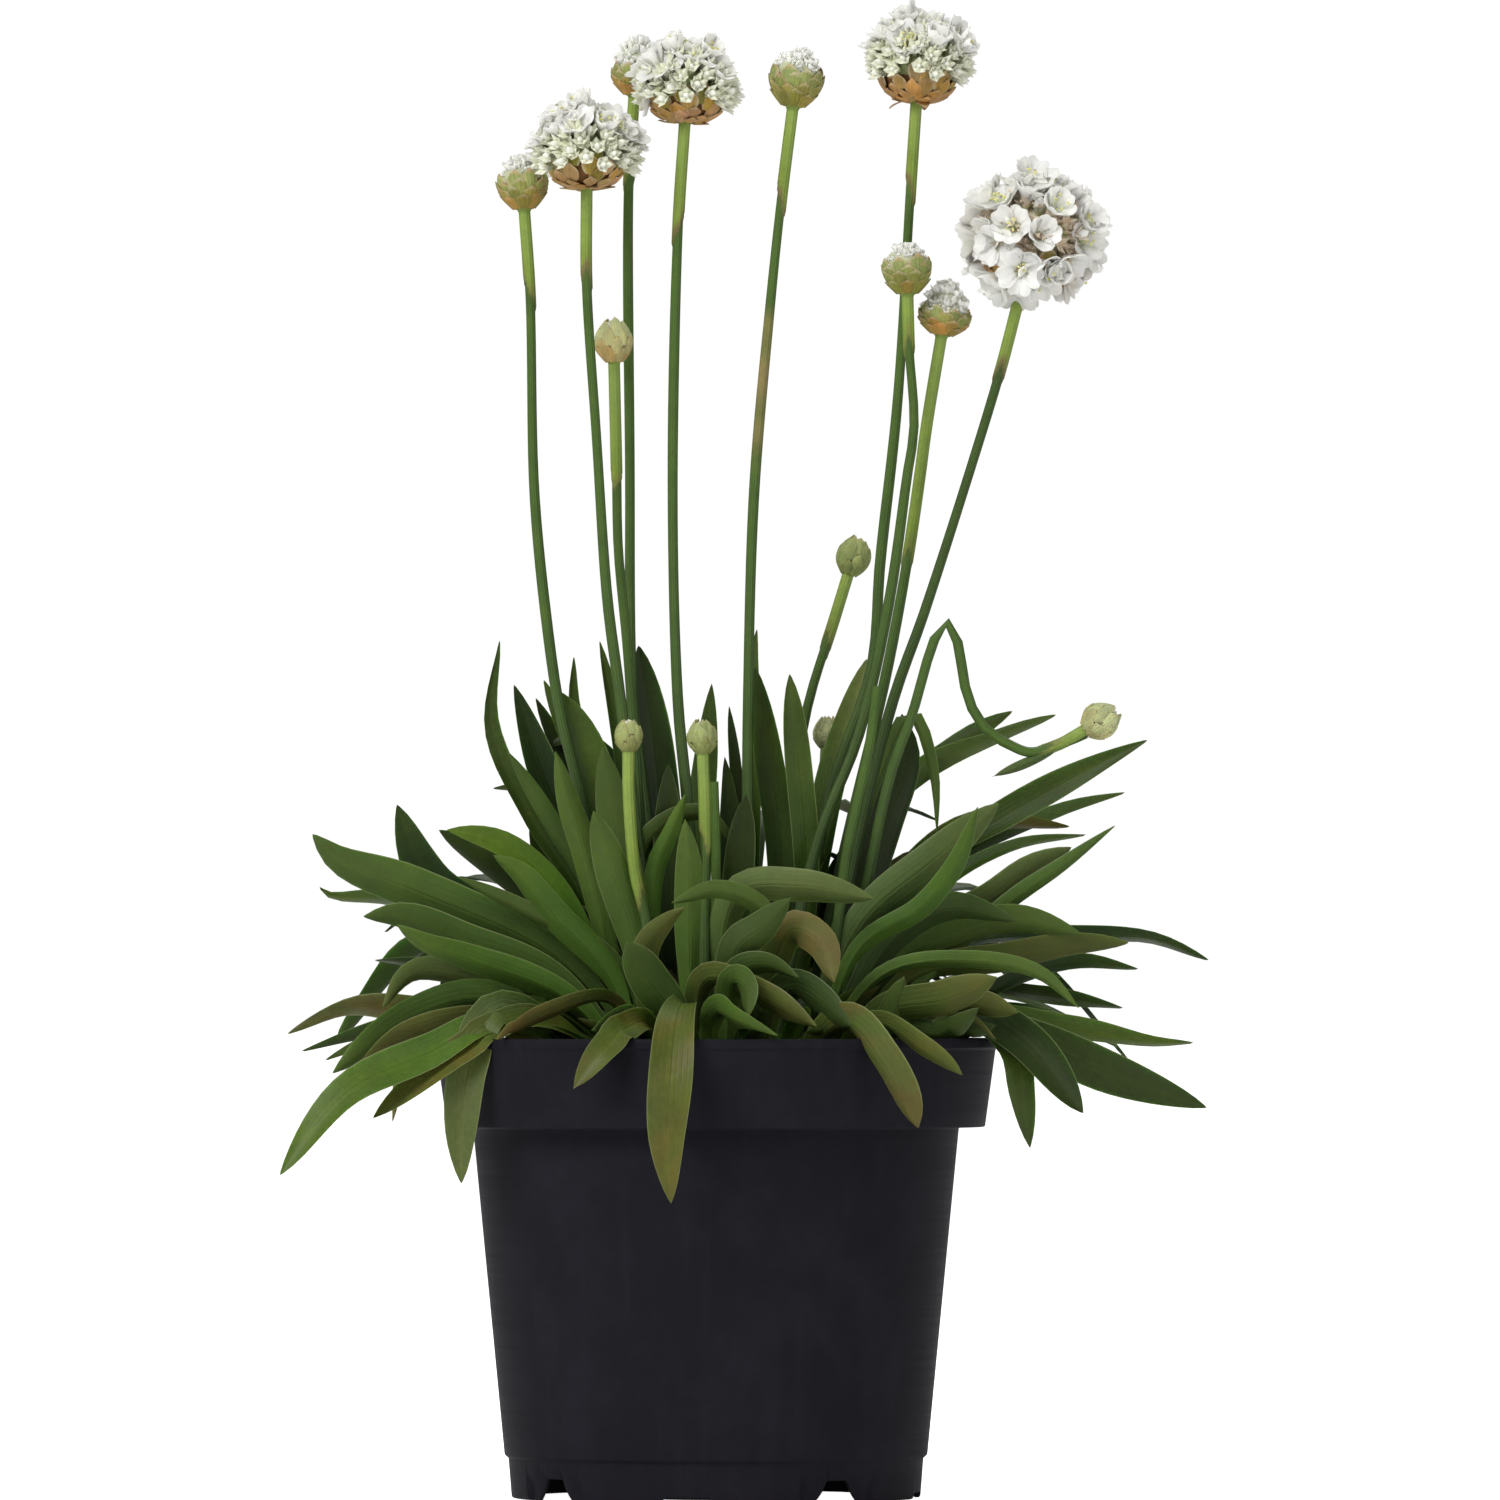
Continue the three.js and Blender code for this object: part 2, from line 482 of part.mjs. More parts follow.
// Turns a closed geometry's faces outward if its volume comes out negative.
function outward(geometry) {
  const p = geometry.attributes.position;
  const index = geometry.index.array;
  let volume = 0;
  for (let i = 0; i < index.length; i += 3) {
    const [a, b, c] = [0, 1, 2].map((k) => new THREE.Vector3().fromBufferAttribute(p, index[i + k]));
    volume += a.dot(b.cross(c));
  }
  if (volume < 0) {
    const turned = Array.from(index);
    for (let i = 0; i < turned.length; i += 3) {
      [turned[i + 1], turned[i + 2]] = [turned[i + 2], turned[i + 1]];
    }
    geometry.setIndex(turned);
  }
  return geometry;
}

// A leaf of the front, with y shared out along its run where its row gives none.
function frontLeaf([rootX, rootY, tipY, width, turn, ...way]) {
  const flat = [[rootX, CROWN.z], ...way].map((p) => [p[0], p[p.length - 1]]);
  const run = [0];
  for (let k = 1; k < flat.length; k++) {
    run.push(run[k - 1] + Math.hypot(flat[k][0] - flat[k - 1][0], flat[k][1] - flat[k - 1][1]));
  }
  const points = flat.map(([x, z], k) => {
    const given = k > 0 && way[k - 1].length === 3 ? way[k - 1][1] : null;
    return vec(x, given ?? mix(rootY, tipY, run[k] / run.at(-1)), z);
  });
  return makeBlade(points, width, turn);
}

// The leaf of number k on the far side: low, middling and steep ones by turns.
function backLeaf(k) {
  const share = (k + 0.5) / BACK.count;
  const bearing = rad(mix(BACK.from, BACK.to, share) + 8 * (draw(k, 1) - 0.5));
  const rise = [0.06, 0.42, 0.8, 0.25][k % 4] + 0.12 * draw(k, 2);
  const reach = mix(BACK.reach[1], BACK.reach[0] * 0.55, rise) * mix(0.9, 1.08, draw(k, 3));
  const tipZ = mix(BACK.tall[0], BACK.tall[1], rise);
  const out = vec(Math.cos(bearing), Math.sin(bearing), 0);
  const root = vec(CROWN.x, CROWN.y, 0).addScaledVector(out, mix(16, 27, draw(k, 4)));
  const along = (part, z) => vec(root.x + out.x * reach * part, root.y + out.y * reach * part, z);
  const points = [
    along(0, CROWN.z), along(0.3, mix(118, 150, rise)), along(0.68, mix(122, 166, rise)), along(1, tipZ),
  ];
  return makeBlade(points, mix(BACK.width[0], BACK.width[1], draw(k, 5)), 0);
}

// Rings across a stalk's curve. Its own plane holds every stalk closely, so the Y axis guides the rings.
function stalkRing(curve, s, radius, sides) {
  const tangent = curve.getTangentAt(s);
  const a = vec(0, 1, 0).addScaledVector(tangent, -tangent.y).normalize();
  const b = tangent.clone().cross(a);
  const middle = curve.getPointAt(s);
  return circle(sides, 0, (cos, sin) => (
    middle.clone().addScaledVector(a, radius * cos).addScaledVector(b, radius * sin)
  ));
}

// A stalk's middle line, with y shared out by order or by height, whichever is further on.
function stalkCurve({ y, way }) {
  const low = way[0][1];
  const high = way.at(-1)[1];
  const points = way.map(([x, z], k) => {
    const share = Math.max(k / (way.length - 1), (z - low) / (high - low));
    return vec(x, mix(y[0], y[1], share), z);
  });
  return new THREE.CatmullRomCurve3(points, false, "centripetal");
}

// A stalk with the thicker sheath below its head. Grown, it is the four-sided room that leaves keep free.
function makeStalk(stalk, grow = 0) {
  const curve = stalkCurve(stalk);
  const length = curve.getLength();
  const edge = 1 - stalk.sheath / length;
  const steps = stalk.name === "l" ? 20 : Math.max(4, Math.round(length / 22));
  const even = Array.from({ length: steps + 1 }, (_, k) => k / steps);
  const stations = even.map((s) => [s, s > edge ? SHEATH_RADIUS : STALK_RADIUS]);
  if (stalk.sheath > 0) {
    stations.push([edge - 0.004, STALK_RADIUS], [edge, SHEATH_RADIUS * 0.92]);
    stations.sort((p, q) => p[0] - q[0]);
  }
  const sides = grow ? ROOM_SIDES : STALK_SIDES;
  const reach = grow ? 1 / Math.cos(Math.PI / ROOM_SIDES) : 1;
  const rings = stations.map(([s, radius]) => stalkRing(curve, s, (radius + grow) * reach, sides));
  const end = curve.getPoint(1);
  const tangent = curve.getTangentAt(1);
  const seat = stalk.name in HEADS ? STALK_SEAT : 0;
  if (seat) {
    rings.push(rings.at(-1).map((p) => p.clone().addScaledVector(tangent, seat)));
  }
  const first = curve.getPoint(0).addScaledVector(curve.getTangentAt(0), -0.01 - grow);
  const last = end.clone().addScaledVector(tangent, seat + 0.01 + grow);
  const body = toSolid(outward(loft(first, rings, last)));
  if (stalk.name !== "l") {
    return body;
  }
  const { from, to, width } = STALK_L_TAIL;
  const tail = [vec(...from), vec(...from).lerp(vec(...to), 0.5).add(vec(0, 0, -0.4)), vec(...to)];
  return body.add(makeBlade(tail, width + 2 * grow, 1));
}

// Where a head sits: the end of its stalk, looking along it.
function seatOf(stalk) {
  const curve = stalkCurve(stalk);
  return {
    position: curve.getPoint(1),
    quaternion: new THREE.Quaternion().setFromUnitVectors(vec(0, 0, 1), curve.getTangentAt(1)),
  };
}

// Overlapping bracts over a socket: tiers of zigzag rings that step out to each bract's tip.
// The profile gives the radius at each share of the height.
function bractBody({ profile, height, tiers, lip, cap, grow = 0, seed = 0 }) {
  const ring = (z, radius, odd, tooth) => circle(BRACT_SIDES, 0, (cos, sin, k) => {
    const up = (k + odd) % 2 ? -tooth : tooth;
    const out = radius * (1 + 0.05 * (draw(k, seed + odd) - 0.5)) + grow;
    return vec(out * cos, out * sin, z + up);
  });
  const bore = SOCKET_RADIUS - 2 * grow;
  const rings = [ring(SOCKET_DEPTH - grow, bore, 0, 0), ring(-grow, bore, 0, 0)];
  const tooth = height / tiers * 0.2;
  for (let tier = 0; tier < tiers; tier++) {
    const low = height * tier / tiers + (tier ? 0 : 0.2 - grow);
    const high = height * (tier + 1) / tiers;
    rings.push(ring(low, profile(Math.max(0, low / height)), tier, tier ? tooth * 0.5 : 0));
    rings.push(ring(high - tooth * 0.3, profile(high / height) + lip, tier, tooth));
  }
  rings.push(ring(height + grow * 0.5, profile(1) * 0.86, tiers, 0));
  return loft(vec(0, 0, SOCKET_DEPTH - grow), rings, vec(0, 0, cap + grow));
}

// The wide cup of bracts below an open head.
function cupGeometry({ radius }, grow, seed) {
  return bractBody({
    profile: (t) => mix(2.6, radius * 0.56, Math.sin(t * Math.PI / 2) ** 0.9),
    height: radius * 0.42,
    tiers: 2,
    lip: 0.7,
    cap: radius * 0.3,
    grow,
    seed,
  });
}

// The round cup of bracts of a half-open bud.
function budGeometry({ radius, height }, grow, seed) {
  return bractBody({
    profile: (t) => {
      const swell = Math.sin(Math.min(1, t * 1.15) * Math.PI / 2);
      return radius * (0.45 + 0.55 * swell - 0.12 * t * t) - 0.25;
    },
    height: height * 0.72,
    tiers: 3,
    lip: 0.3,
    cap: height * 0.6,
    grow,
    seed,
  });
}

// A closed bud, round and wholly covered by its bracts.
function closedBudGeometry({ radius, height }, seed) {
  return bractBody({
    profile: (t) => radius * Math.sin(mix(0.5, 2.62, t)) ** 0.8 - 0.2,
    height: height * 0.94,
    tiers: 3,
    lip: 0.25,
    cap: height,
    seed,
  });
}

// The white tuft of petal tips that shows in a half-open bud.
function tuftGeometry({ radius, height }, seed) {
  const ring = (z, out, odd, tooth) => circle(BRACT_SIDES, 0.5, (cos, sin, k) => {
    const up = ((k + odd) % 2 ? -tooth : tooth) + 0.5 * (draw(k, seed + odd) - 0.5);
    const wide = out * (1 + 0.12 * (draw(k, seed + odd + 5) - 0.5));
    return vec(wide * cos, wide * sin, z + up);
  });
  const rings = [
    ring(height * 0.66, radius * 0.5, 0, 0), ring(height * 0.84, radius * 0.86, 0, 0.5),
    ring(height * 0.86, radius * 0.6, 1, 0.4), ring(height * 0.97, radius * 0.58, 1, 0.5),
    ring(height * 0.94, radius * 0.3, 0, 0.3),
  ];
  return loft(vec(0, 0, height * 0.5), rings, vec(0, 0, height));
}

// One floret: a five-lobed funnel whose root is sunk in the middle of the head.
function floretGeometry(middle, direction, reach, spread, phase) {
  const side = vec(0.3, 0.9, 0.2).cross(direction).normalize();
  const other = direction.clone().cross(side);
  const at = (turn, out, along) => middle.clone()
    .addScaledVector(direction, along)
    .addScaledVector(side, out * Math.cos(turn))
    .addScaledVector(other, out * Math.sin(turn));
  const outline = [];
  for (let petal = 0; petal < PETALS; petal++) {
    const turn = phase + petal * 2 * Math.PI / PETALS;
    outline.push(at(turn - 0.33, spread, reach - 0.6), at(turn + 0.33, spread, reach - 0.2));
    outline.push(at(turn + Math.PI / PETALS, spread * 0.5, reach - 2));
  }
  return outward(loft(at(0, 0, reach * 0.2), [outline], at(0, 0, reach - 3.2)));
}

// A ball of florets on a sunflower spiral from the top down, round a smaller core, less the cup's room.
function whiteHead({ radius, middle, lowest, florets }, cupRoom, seed) {
  const centre = vec(0, 0, middle);
  const core = new THREE.IcosahedronGeometry(radius * 0.7, 0);
  core.translate(0, 0, middle);
  let head = toSolid(core);
  const golden = Math.PI * (3 - Math.sqrt(5));
  const bottom = Math.sin(rad(lowest));
  for (let k = 0; k < florets; k++) {
    const up = mix(1, bottom, (k + 0.5) / florets);
    const turn = k * golden + seed;
    const flat = Math.sqrt(1 - up * up);
    const direction = vec(flat * Math.cos(turn), flat * Math.sin(turn), up);
    const reach = radius * mix(0.93, 1.0, draw(k, seed + 2));
    const spread = radius * 0.9 * Math.sqrt((1 - bottom) / florets) * mix(0.94, 1.0, draw(k, seed + 3));
    head = head.add(toSolid(floretGeometry(centre, direction, reach, spread, draw(k, seed + 4) * 2)));
  }
  return mainBody(head.subtract(cupRoom));
}

// Assembly
const group = new THREE.Group();
group.name = "potted_sea_thrift";

// Adds a named piece, in its seat where it has one.
function place(name, geometry, kind, seat) {
  const mesh = new THREE.Mesh(geometry, new THREE.MeshStandardMaterial({ ...PAINT[kind], metalness: 0 }));
  mesh.name = name;
  if (seat) {
    mesh.position.copy(seat.position);
    mesh.quaternion.copy(seat.quaternion);
  }
  group.add(mesh);
}

// The room round a closed bud, in the plant's frame, that leaves keep free.
function budRoom({ height }, seat) {
  const ball = new THREE.SphereGeometry(height * 0.62, 10, 6).translate(0, 0, height * 0.5);
  ball.applyMatrix4(new THREE.Matrix4().compose(seat.position, seat.quaternion, vec(1, 1, 1)));
  return toSolid(ball);
}

function addFlower(name, flower, seat, k) {
  const socket = new THREE.CylinderGeometry(SOCKET_RADIUS, SOCKET_RADIUS, 3 * SOCKET_DEPTH, SOCKET_SIDES);
  const cupRoom = toSolid(outward(cupGeometry(flower, CUP_CLEARANCE, k)));
  const room = cupRoom.add(toSolid(socket.rotateX(Math.PI / 2)));
  place(`flower_${name}_bracts`, cupGeometry(flower, 0, k), "bract", seat);
  place(`flower_${name}_florets`, toGeometry(whiteHead(flower, room, k)), "petal", seat);
}

function addHalfOpenBud(name, bud, seat, k) {
  const room = toSolid(outward(budGeometry(bud, CUP_CLEARANCE, k)));
  const tuft = toSolid(outward(tuftGeometry(bud, k)));
  place(`bud_${name}_bracts`, budGeometry(bud, 0, k), "bract", seat);
  place(`bud_${name}_petals`, toGeometry(mainBody(tuft.subtract(room))), "petal", seat);
}

place("pot", toGeometry(makePot()), "pot");
place("soil", toGeometry(makeSoil()), "peat");

const rooms = [collarRoom(), makeSoil(CLEARANCE)];
for (const [k, stalk] of STALKS.entries()) {
  const { name } = stalk;
  const seat = seatOf(stalk);
  place(`scape_${name}`, toGeometry(makeStalk(stalk)), "stalk");
  rooms.push(makeStalk(stalk, CLEARANCE));
  if (name in FLOWERS) {
    addFlower(name, FLOWERS[name], seat, k);
  }
  if (name in HALF_OPEN) {
    addHalfOpenBud(name, HALF_OPEN[name], seat, k);
  }
  if (name in CLOSED) {
    place(`bud_${name}`, closedBudGeometry(CLOSED[name], k), "greenBud", seat);
    rooms.push(budRoom(CLOSED[name], seat));
  }
}

const blades = FRONT_LEAVES.map(frontLeaf);
for (let k = 0; k < BACK.count; k++) {
  blades.push(backLeaf(k));
}
const grown = wasm.Manifold.union([crownMound(), ...blades]);
place("leaves", toGeometry(mainBody(grown.subtract(wasm.Manifold.union(rooms)))), "leaf");

export default group;
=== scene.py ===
"""Potted sea thrift in flower: fine surfaces, finishes, stage and camera round the fixed frame.

The origin is the middle of the pot's foot, +Z up, and the side that is photographed faces -Y. Shapes are
worked out in millimetres and put into meshes in metres.
"""
import math

import bpy
import numpy as np
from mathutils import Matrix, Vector


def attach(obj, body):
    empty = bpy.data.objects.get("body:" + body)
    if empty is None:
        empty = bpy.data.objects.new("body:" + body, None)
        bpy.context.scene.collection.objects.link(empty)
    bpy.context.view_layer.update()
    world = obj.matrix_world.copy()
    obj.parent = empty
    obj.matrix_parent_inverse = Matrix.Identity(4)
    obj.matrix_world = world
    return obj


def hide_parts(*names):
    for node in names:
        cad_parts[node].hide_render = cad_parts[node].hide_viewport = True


bl_info = {
    "name": "Potted Sea Thrift",
    "version": (1, 0, 0),
    "blender": (4, 5, 0),
    "location": "View3D > Sidebar > Thrift",
    "description": "Makes the leaves, stalks, flower heads, pot and peat of a potted sea thrift",
    "category": "Add Mesh",
}

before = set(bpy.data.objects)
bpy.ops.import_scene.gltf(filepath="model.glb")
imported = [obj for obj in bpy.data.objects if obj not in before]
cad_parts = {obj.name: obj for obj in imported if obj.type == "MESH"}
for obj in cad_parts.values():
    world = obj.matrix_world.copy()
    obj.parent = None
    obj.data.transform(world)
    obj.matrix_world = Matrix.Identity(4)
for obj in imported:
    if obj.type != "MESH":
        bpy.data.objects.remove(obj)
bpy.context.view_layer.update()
MM = 0.001
GOLDEN_ANGLE = 2.39996

# Leaf colours, linear: blade, and what the tip turns to. dark, deep, mid and bright are one green at rising
# strengths: partly the leaves' own colour, partly painted shade for leaves that lie in shadow and painted
# light for leaves that lie in the light.
TINTS = {
    "dark": ((0.012, 0.028, 0.003), (0.020, 0.034, 0.004)),
    "deep": ((0.021, 0.045, 0.004), (0.030, 0.050, 0.005)),
    "mid": ((0.034, 0.070, 0.006), (0.044, 0.070, 0.008)),
    "bright": ((0.052, 0.104, 0.010), (0.060, 0.098, 0.012)),
    "lime": ((0.045, 0.108, 0.005), (0.062, 0.104, 0.008)),
    "grey": ((0.062, 0.104, 0.022), (0.085, 0.108, 0.028)),
    "olive": ((0.052, 0.080, 0.008), (0.078, 0.090, 0.014)),
    "red": ((0.060, 0.084, 0.012), (0.105, 0.082, 0.020)),
    "rusty": ((0.034, 0.058, 0.006), (0.060, 0.066, 0.010)),
    "brown": ((0.036, 0.066, 0.007), (0.085, 0.078, 0.015)),
    "glossy": ((0.020, 0.040, 0.006), (0.028, 0.044, 0.007)),
    "withered": ((0.090, 0.062, 0.016), (0.135, 0.090, 0.030)),
}
# How much of a leaf of each tint turns rusty in patches.
RUST = {"olive": 0.35, "red": 0.9, "rusty": 0.35, "brown": 0.45}
RUST_TINT = np.array([0.130, 0.062, 0.018])

# Leaves seen from the front. Each row: root x and y, y of the tip, width, how far the blade turns its
# face to the front (0 to 1), tint, and the points x, z (or x, y, z) that it passes on the way to its tip.
# A darker or brighter tint partly paints the shade or light that the leaf lies in.
FRONT_LEAVES = (
    (-14, 4, 4, 5, 0.7, "deep", ((-32, 140), (-43, 157), (-52, 178), (-50, 198))),
    (-15, 12, 20, 9, 0.8, "dark", ((-32, 150), (-39, 165), (-47, 188))),
    (-12, 16, 26, 7, 0.6, "dark", ((-30, 158), (-42, 185))),
    (-10, 12, 14, 6, 0.7, "mid", ((-28, 160), (-40, 189))),
    (-12, 6, 6, 10, 0.9, "bright", ((-26, 161), (-31, 176), (-36, 186))),
    (-10, 10, 10, 5, 0.8, "mid", ((-20, 160), (-23, 179), (-27, 198))),
    (-8, 18, 24, 7, 0.6, "dark", ((-20, 163), (-32, 176), (-40, 173))),
    (-10, 14, 26, 6, 0.6, "dark", ((-27, 156), (-37, 164), (-52, 164))),
    (-16, 2, -2, 5, 0.7, "mid", ((-27, 136), (-37, 154), (-48, 172))),
    (-18, -4, -6, 7, 0.9, "bright", ((-30, 148), (-34, 160), (-37, 172))),
    (-16, 8, 14, 11.5, 1.0, "dark", ((-48, 131), (-64, 140), (-69, 147), (-74, 160))),
    (-14, 2, 4, 10, 0.7, "dark", ((-40, 136), (-52, 146), (-64, 154))),
    (-16, -4, -4, 8, 0.7, "lime", ((-37, 140), (-48, 150), (-56, 153), (-62, 154))),
    (-16, -10, -16, 8, 0.8, "lime", ((-24, 120), (-37, 134), (-45, 144), (-51, 148))),
    (-12, -4, -8, 11, 0.8, "mid", ((-34, 123), (-69, 140), (-87, 147), (-93, 153))),
    (-14, 10, 16, 7, 0.5, "mid", ((-54, 130), (-75, 138), (-90, 139), (-92, 141))),
    (-14, -8, -14, 10, 0.7, "mid", ((-37, 120), (-58, 128), (-72, 134), (-81, 134))),
    (-16, -14, -24, 9, 0.7, "lime", ((-32, 114), (-56, 124), (-67, 128), (-73, 132))),
    (-16, 8, 12, 6, 0.5, "dark", ((-50, 118), (-69, 123), (-79, 124))),
    (-12, -10, -14, 5, 0.7, "mid", ((-23, 123), (-41, 134), (-59, 143))),
    (-18, 10, 10, 10, 0.8, "dark", ((-30, 125), (-38, 145), (-43, 156))),
    (-16, 0, -2, 9, 0.5, "grey", ((-40, 116), (-57, 120), (-70, 121), (-77, 113))),
    (-18, 4, 2, 9, 0.5, "rusty", ((-45, 115), (-68, 112), (-84, 113), (-99, 107))),
    (-18, 12, 14, 6, 0.4, "dark", ((-42, 114), (-62, 111), (-81, 107), (-96, 103))),
    (-16, -2, -6, 6, 0.5, "mid", ((-40, 114), (-59, 111), (-78, 106), (-90, 101))),
    (-18, -8, -18, 10, 0.7, "mid", ((-51, 115), (-70, 111), (-88, 98))),
    (-16, -14, -30, 9, 0.6, "brown", ((-45, 110), (-70, 107), (-83, 98))),
    (-18, -12, -54, 10, 0.8, "bright", ((-50, -34, 110), (-65, -40, 103), (-84, -48, 94), (-99, -54, 75))),
    (-16, -16, -44, 9, 0.7, "olive", ((-42, -33, 111), (-57, -39, 104), (-78, 88))),
    (-14, -14, -40, 10, 0.9, "grey", ((-50, -35, 113), (-56, -38, 101), (-58, -40, 87), (-58, 73))),
    (-14, -14, -46, 6, 0.4, "red", ((-24, 115), (-38, 112), (-50, 106))),
    (-6, 10, 14, 10, 0.9, "dark", ((-11, 145), (-14, 170), (-18, 197))),
    (-12, -8, -12, 9, 0.9, "mid", ((-18, 131), (-23, 154), (-26, 173))),
    (-13, -16, -26, 9, 0.9, "bright", ((-18, 126), (-24, 145), (-28, 158))),
    (-2, 6, 8, 7, 0.9, "mid", ((-4, 150), (-2, 175), (-1, 188))),
    (-8, -4, -6, 8, 0.8, "dark", ((-11, 145), (-11, 169))),
    (-14, -14, -22, 5, 0.9, "lime", ((-14, 144), (-10, 154), (-7, 162))),
    (-18, 0, -10, 6, 0.7, "mid", ((-17, 150), (-4, 158), (6, 149))),
    (-5, -16, -28, 8, 0.9, "bright", ((-6, 128), (-6, 142), (-7, 156))),
    (13, 4, 6, 8, 0.9, "deep", ((15, 150), (12, 172), (9, 192))),
    (18, -2, -4, 7, 0.9, "mid", ((21, 144), (19, 170), (17, 190))),
    (16, 12, 18, 8, 0.9, "grey", ((26, 163), (31, 180), (35, 194))),
    (4, 14, 18, 3.5, 0.7, "dark", ((5, 161), (3, 183))),
    (3, -8, -12, 8, 0.8, "dark", ((5, 141), (7, 162))),
    (0, -14, -38, 9, 0.9, "grey", ((5, 139), (19, 141), (36, 138))),
    (12, -20, -40, 5, 0.8, "bright", ((12, 134), (1, 140), (-10, 137))),
    (2, -26, -46, 9, 0.9, "deep", ((5, 127), (10, 131), (17, 138))),
    (8, -16, -48, 9, 0.9, "red", ((17, 131), (24, 128), (27, 119))),
    (-12, -26, -46, 7, 0.6, "olive", ((-16, 126), (-11, 133), (-7, 136))),
    (-6, -32, -50, 10, 0.8, "mid", ((-10, 112), (-15, 119), (-20, 128))),
    (0, -24, -50, 7, 0.6, "deep", ((5, 121), (12, 123), (19, 120))),
    (2, -30, -58, 8, 0.8, "mid", ((4, -46, 119), (7.5, -55, 117), (7.5, 111))),
    (-6, -24, -58, 9, 0.6, "olive", ((-2, 120), (12, 115), (23, 109))),
    (6, -20, -54, 9, 0.7, "dark", ((17, 118), (31, 109))),
    (-2, -34, -66, 8, 0.5, "bright", ((0, -50, 112), (5, -62, 110.5), (14, 107))),
    (-6, -30, -72, 11, 0.3, "olive",
        ((-7, -48, 114), (-9, -64, 110), (-10, -72, 98), (-11, -73, 84), (-10, 69))),
    (-12, -32, -66, 8, 0.6, "olive", ((-16, -52, 110), (-25, -64, 104), (-32, 95))),
    (-14, -32, -60, 7, 0.5, "mid", ((-20, 111), (-28, 108))),
    (14, -26, -58, 11, 0.6, "red", ((30, -52, 110), (38, -60, 101), (46, 86))),
    (22, -28, -52, 7, 0.5, "olive", ((36, -46, 110), (47, -54, 104), (56, 98))),
    (30, -28, -36, 6, 0.7, "mid", ((40, 112), (43, 120))),
    (14, 10, 16, 8, 0.6, "mid", ((41, 162), (66, 176), (79, 181))),
    (12, 14, 26, 8, 0.6, "mid", ((40, 160), (56, 174), (69, 182))),
    (20, 4, 8, 10, 0.9, "dark", ((39, 156), (44, 171), (43, 181))),
    (18, 6, 8, 8, 0.7, "deep", ((40, 140), (66, 157), (88, 169), (100, 175))),
    (18, 14, 20, 6, 0.5, "mid", ((45, 140), (78, 158), (95, 163))),
    (20, 10, 14, 7, 0.5, "brown", ((40, 140), (60, 155), (82, 155))),
    (20, 0, -2, 10, 0.8, "grey", ((45, 128), (64, 138), (73, 145), (82, 150))),
    (22, -4, -8, 5, 0.7, "bright", ((66, 136), (80, 146), (92, 155))),
    (18, -10, -16, 10, 0.9, "grey", ((33, 132), (50, 147), (65, 160))),
    (20, -18, -28, 6, 0.9, "lime", ((33, 127), (47, 136), (55, 146), (60, 159))),
    (20, -10, -18, 9, 0.6, "dark", ((42, 130), (54, 136), (69, 133))),
    (22, -6, -12, 9, 0.6, "mid", ((38, 122), (53, 129), (68, 133), (84, 130))),
    (24, 6, 6, 7, 0.5, "dark", ((56, 127), (84, 129), (100, 129), (114, 124))),
    (22, -4, -8, 10, 0.5, "olive", ((45, 120), (66, 124), (80, 127), (95, 128))),
    (18, -20, -36, 5, 0.7, "bright", ((38, 121), (58, 124), (74, 121), (83, 113))),
    (22, 4, 6, 6, 0.4, "dark", ((54, 118), (74, 116), (94, 113))),
    (24, -2, -6, 7, 0.4, "mid", ((58, 112), (82, 108), (100, 105), (110, 105))),
    (24, -6, -10, 11, 0.8, "glossy", ((58, 110), (72, 106), (90, 98), (113, 90))),
    (22, -12, -32, 10, 0.8, "dark", ((54, 113), (70, 106), (84, 89))),
    (24, -6, -26, 8, 0.8, "deep", ((56, -18, 112), (68, -24, 104), (70, -26, 94), (72, 81))),
    (24, -24, -42, 10, 0.7, "olive", ((38, 112), (52, 115), (64, 120))),
    (24, -18, -32, 9, 0.6, "olive", ((44, 113), (58, 114), (69, 112))),
    (24, 8, 12, 8, 0.4, "dark", ((50, 114), (68, 112), (83, 109))),
    (24, 0, 2, 7, 0.5, "brown", ((52, 111), (70, 107), (84, 98))),
    (18, -2, -8, 3.5, 0.7, "mid", ((38, 168), (45, 181), (50, 168), (51, 153))),
    (-12, 16, 16, 4, 0.7, "mid", ((-30, 170), (-33, 183), (-33, 194.5))),
    (-16, -12, -30, 4, 0.7, "withered", ((-50, 110), (-70, 102), (-74, 87))),
    (3, 10, 8, 6, 0.8, "dark", ((3, 161), (2, 171))),
    (20, 4, 4, 5.5, 0.5, "mid", ((49, 138), (68, 150), (85.5, 153))),
    (22, 2, 4, 6, 0.5, "dark", ((79.5, 123), (97.5, 122))),
    (26, -20, -32, 4, 0.5, "brown", ((57, 111), (64, 106))),
    (8, 16, 20, 5, 0.7, "mid", ((8.3, 170), (8.5, 193), (9.5, 201))),
    (-34, 12, 14, 6, 0.6, "dark", ((-60, 110), (-63, 124.5))),
    (26, -8, -30, 8, 0.6, "dark", ((42, 110), (54, 107), (64, 109))),
    (26, -16, -38, 7, 0.6, "deep", ((42, 108), (52, 107), (60, 113))),
)

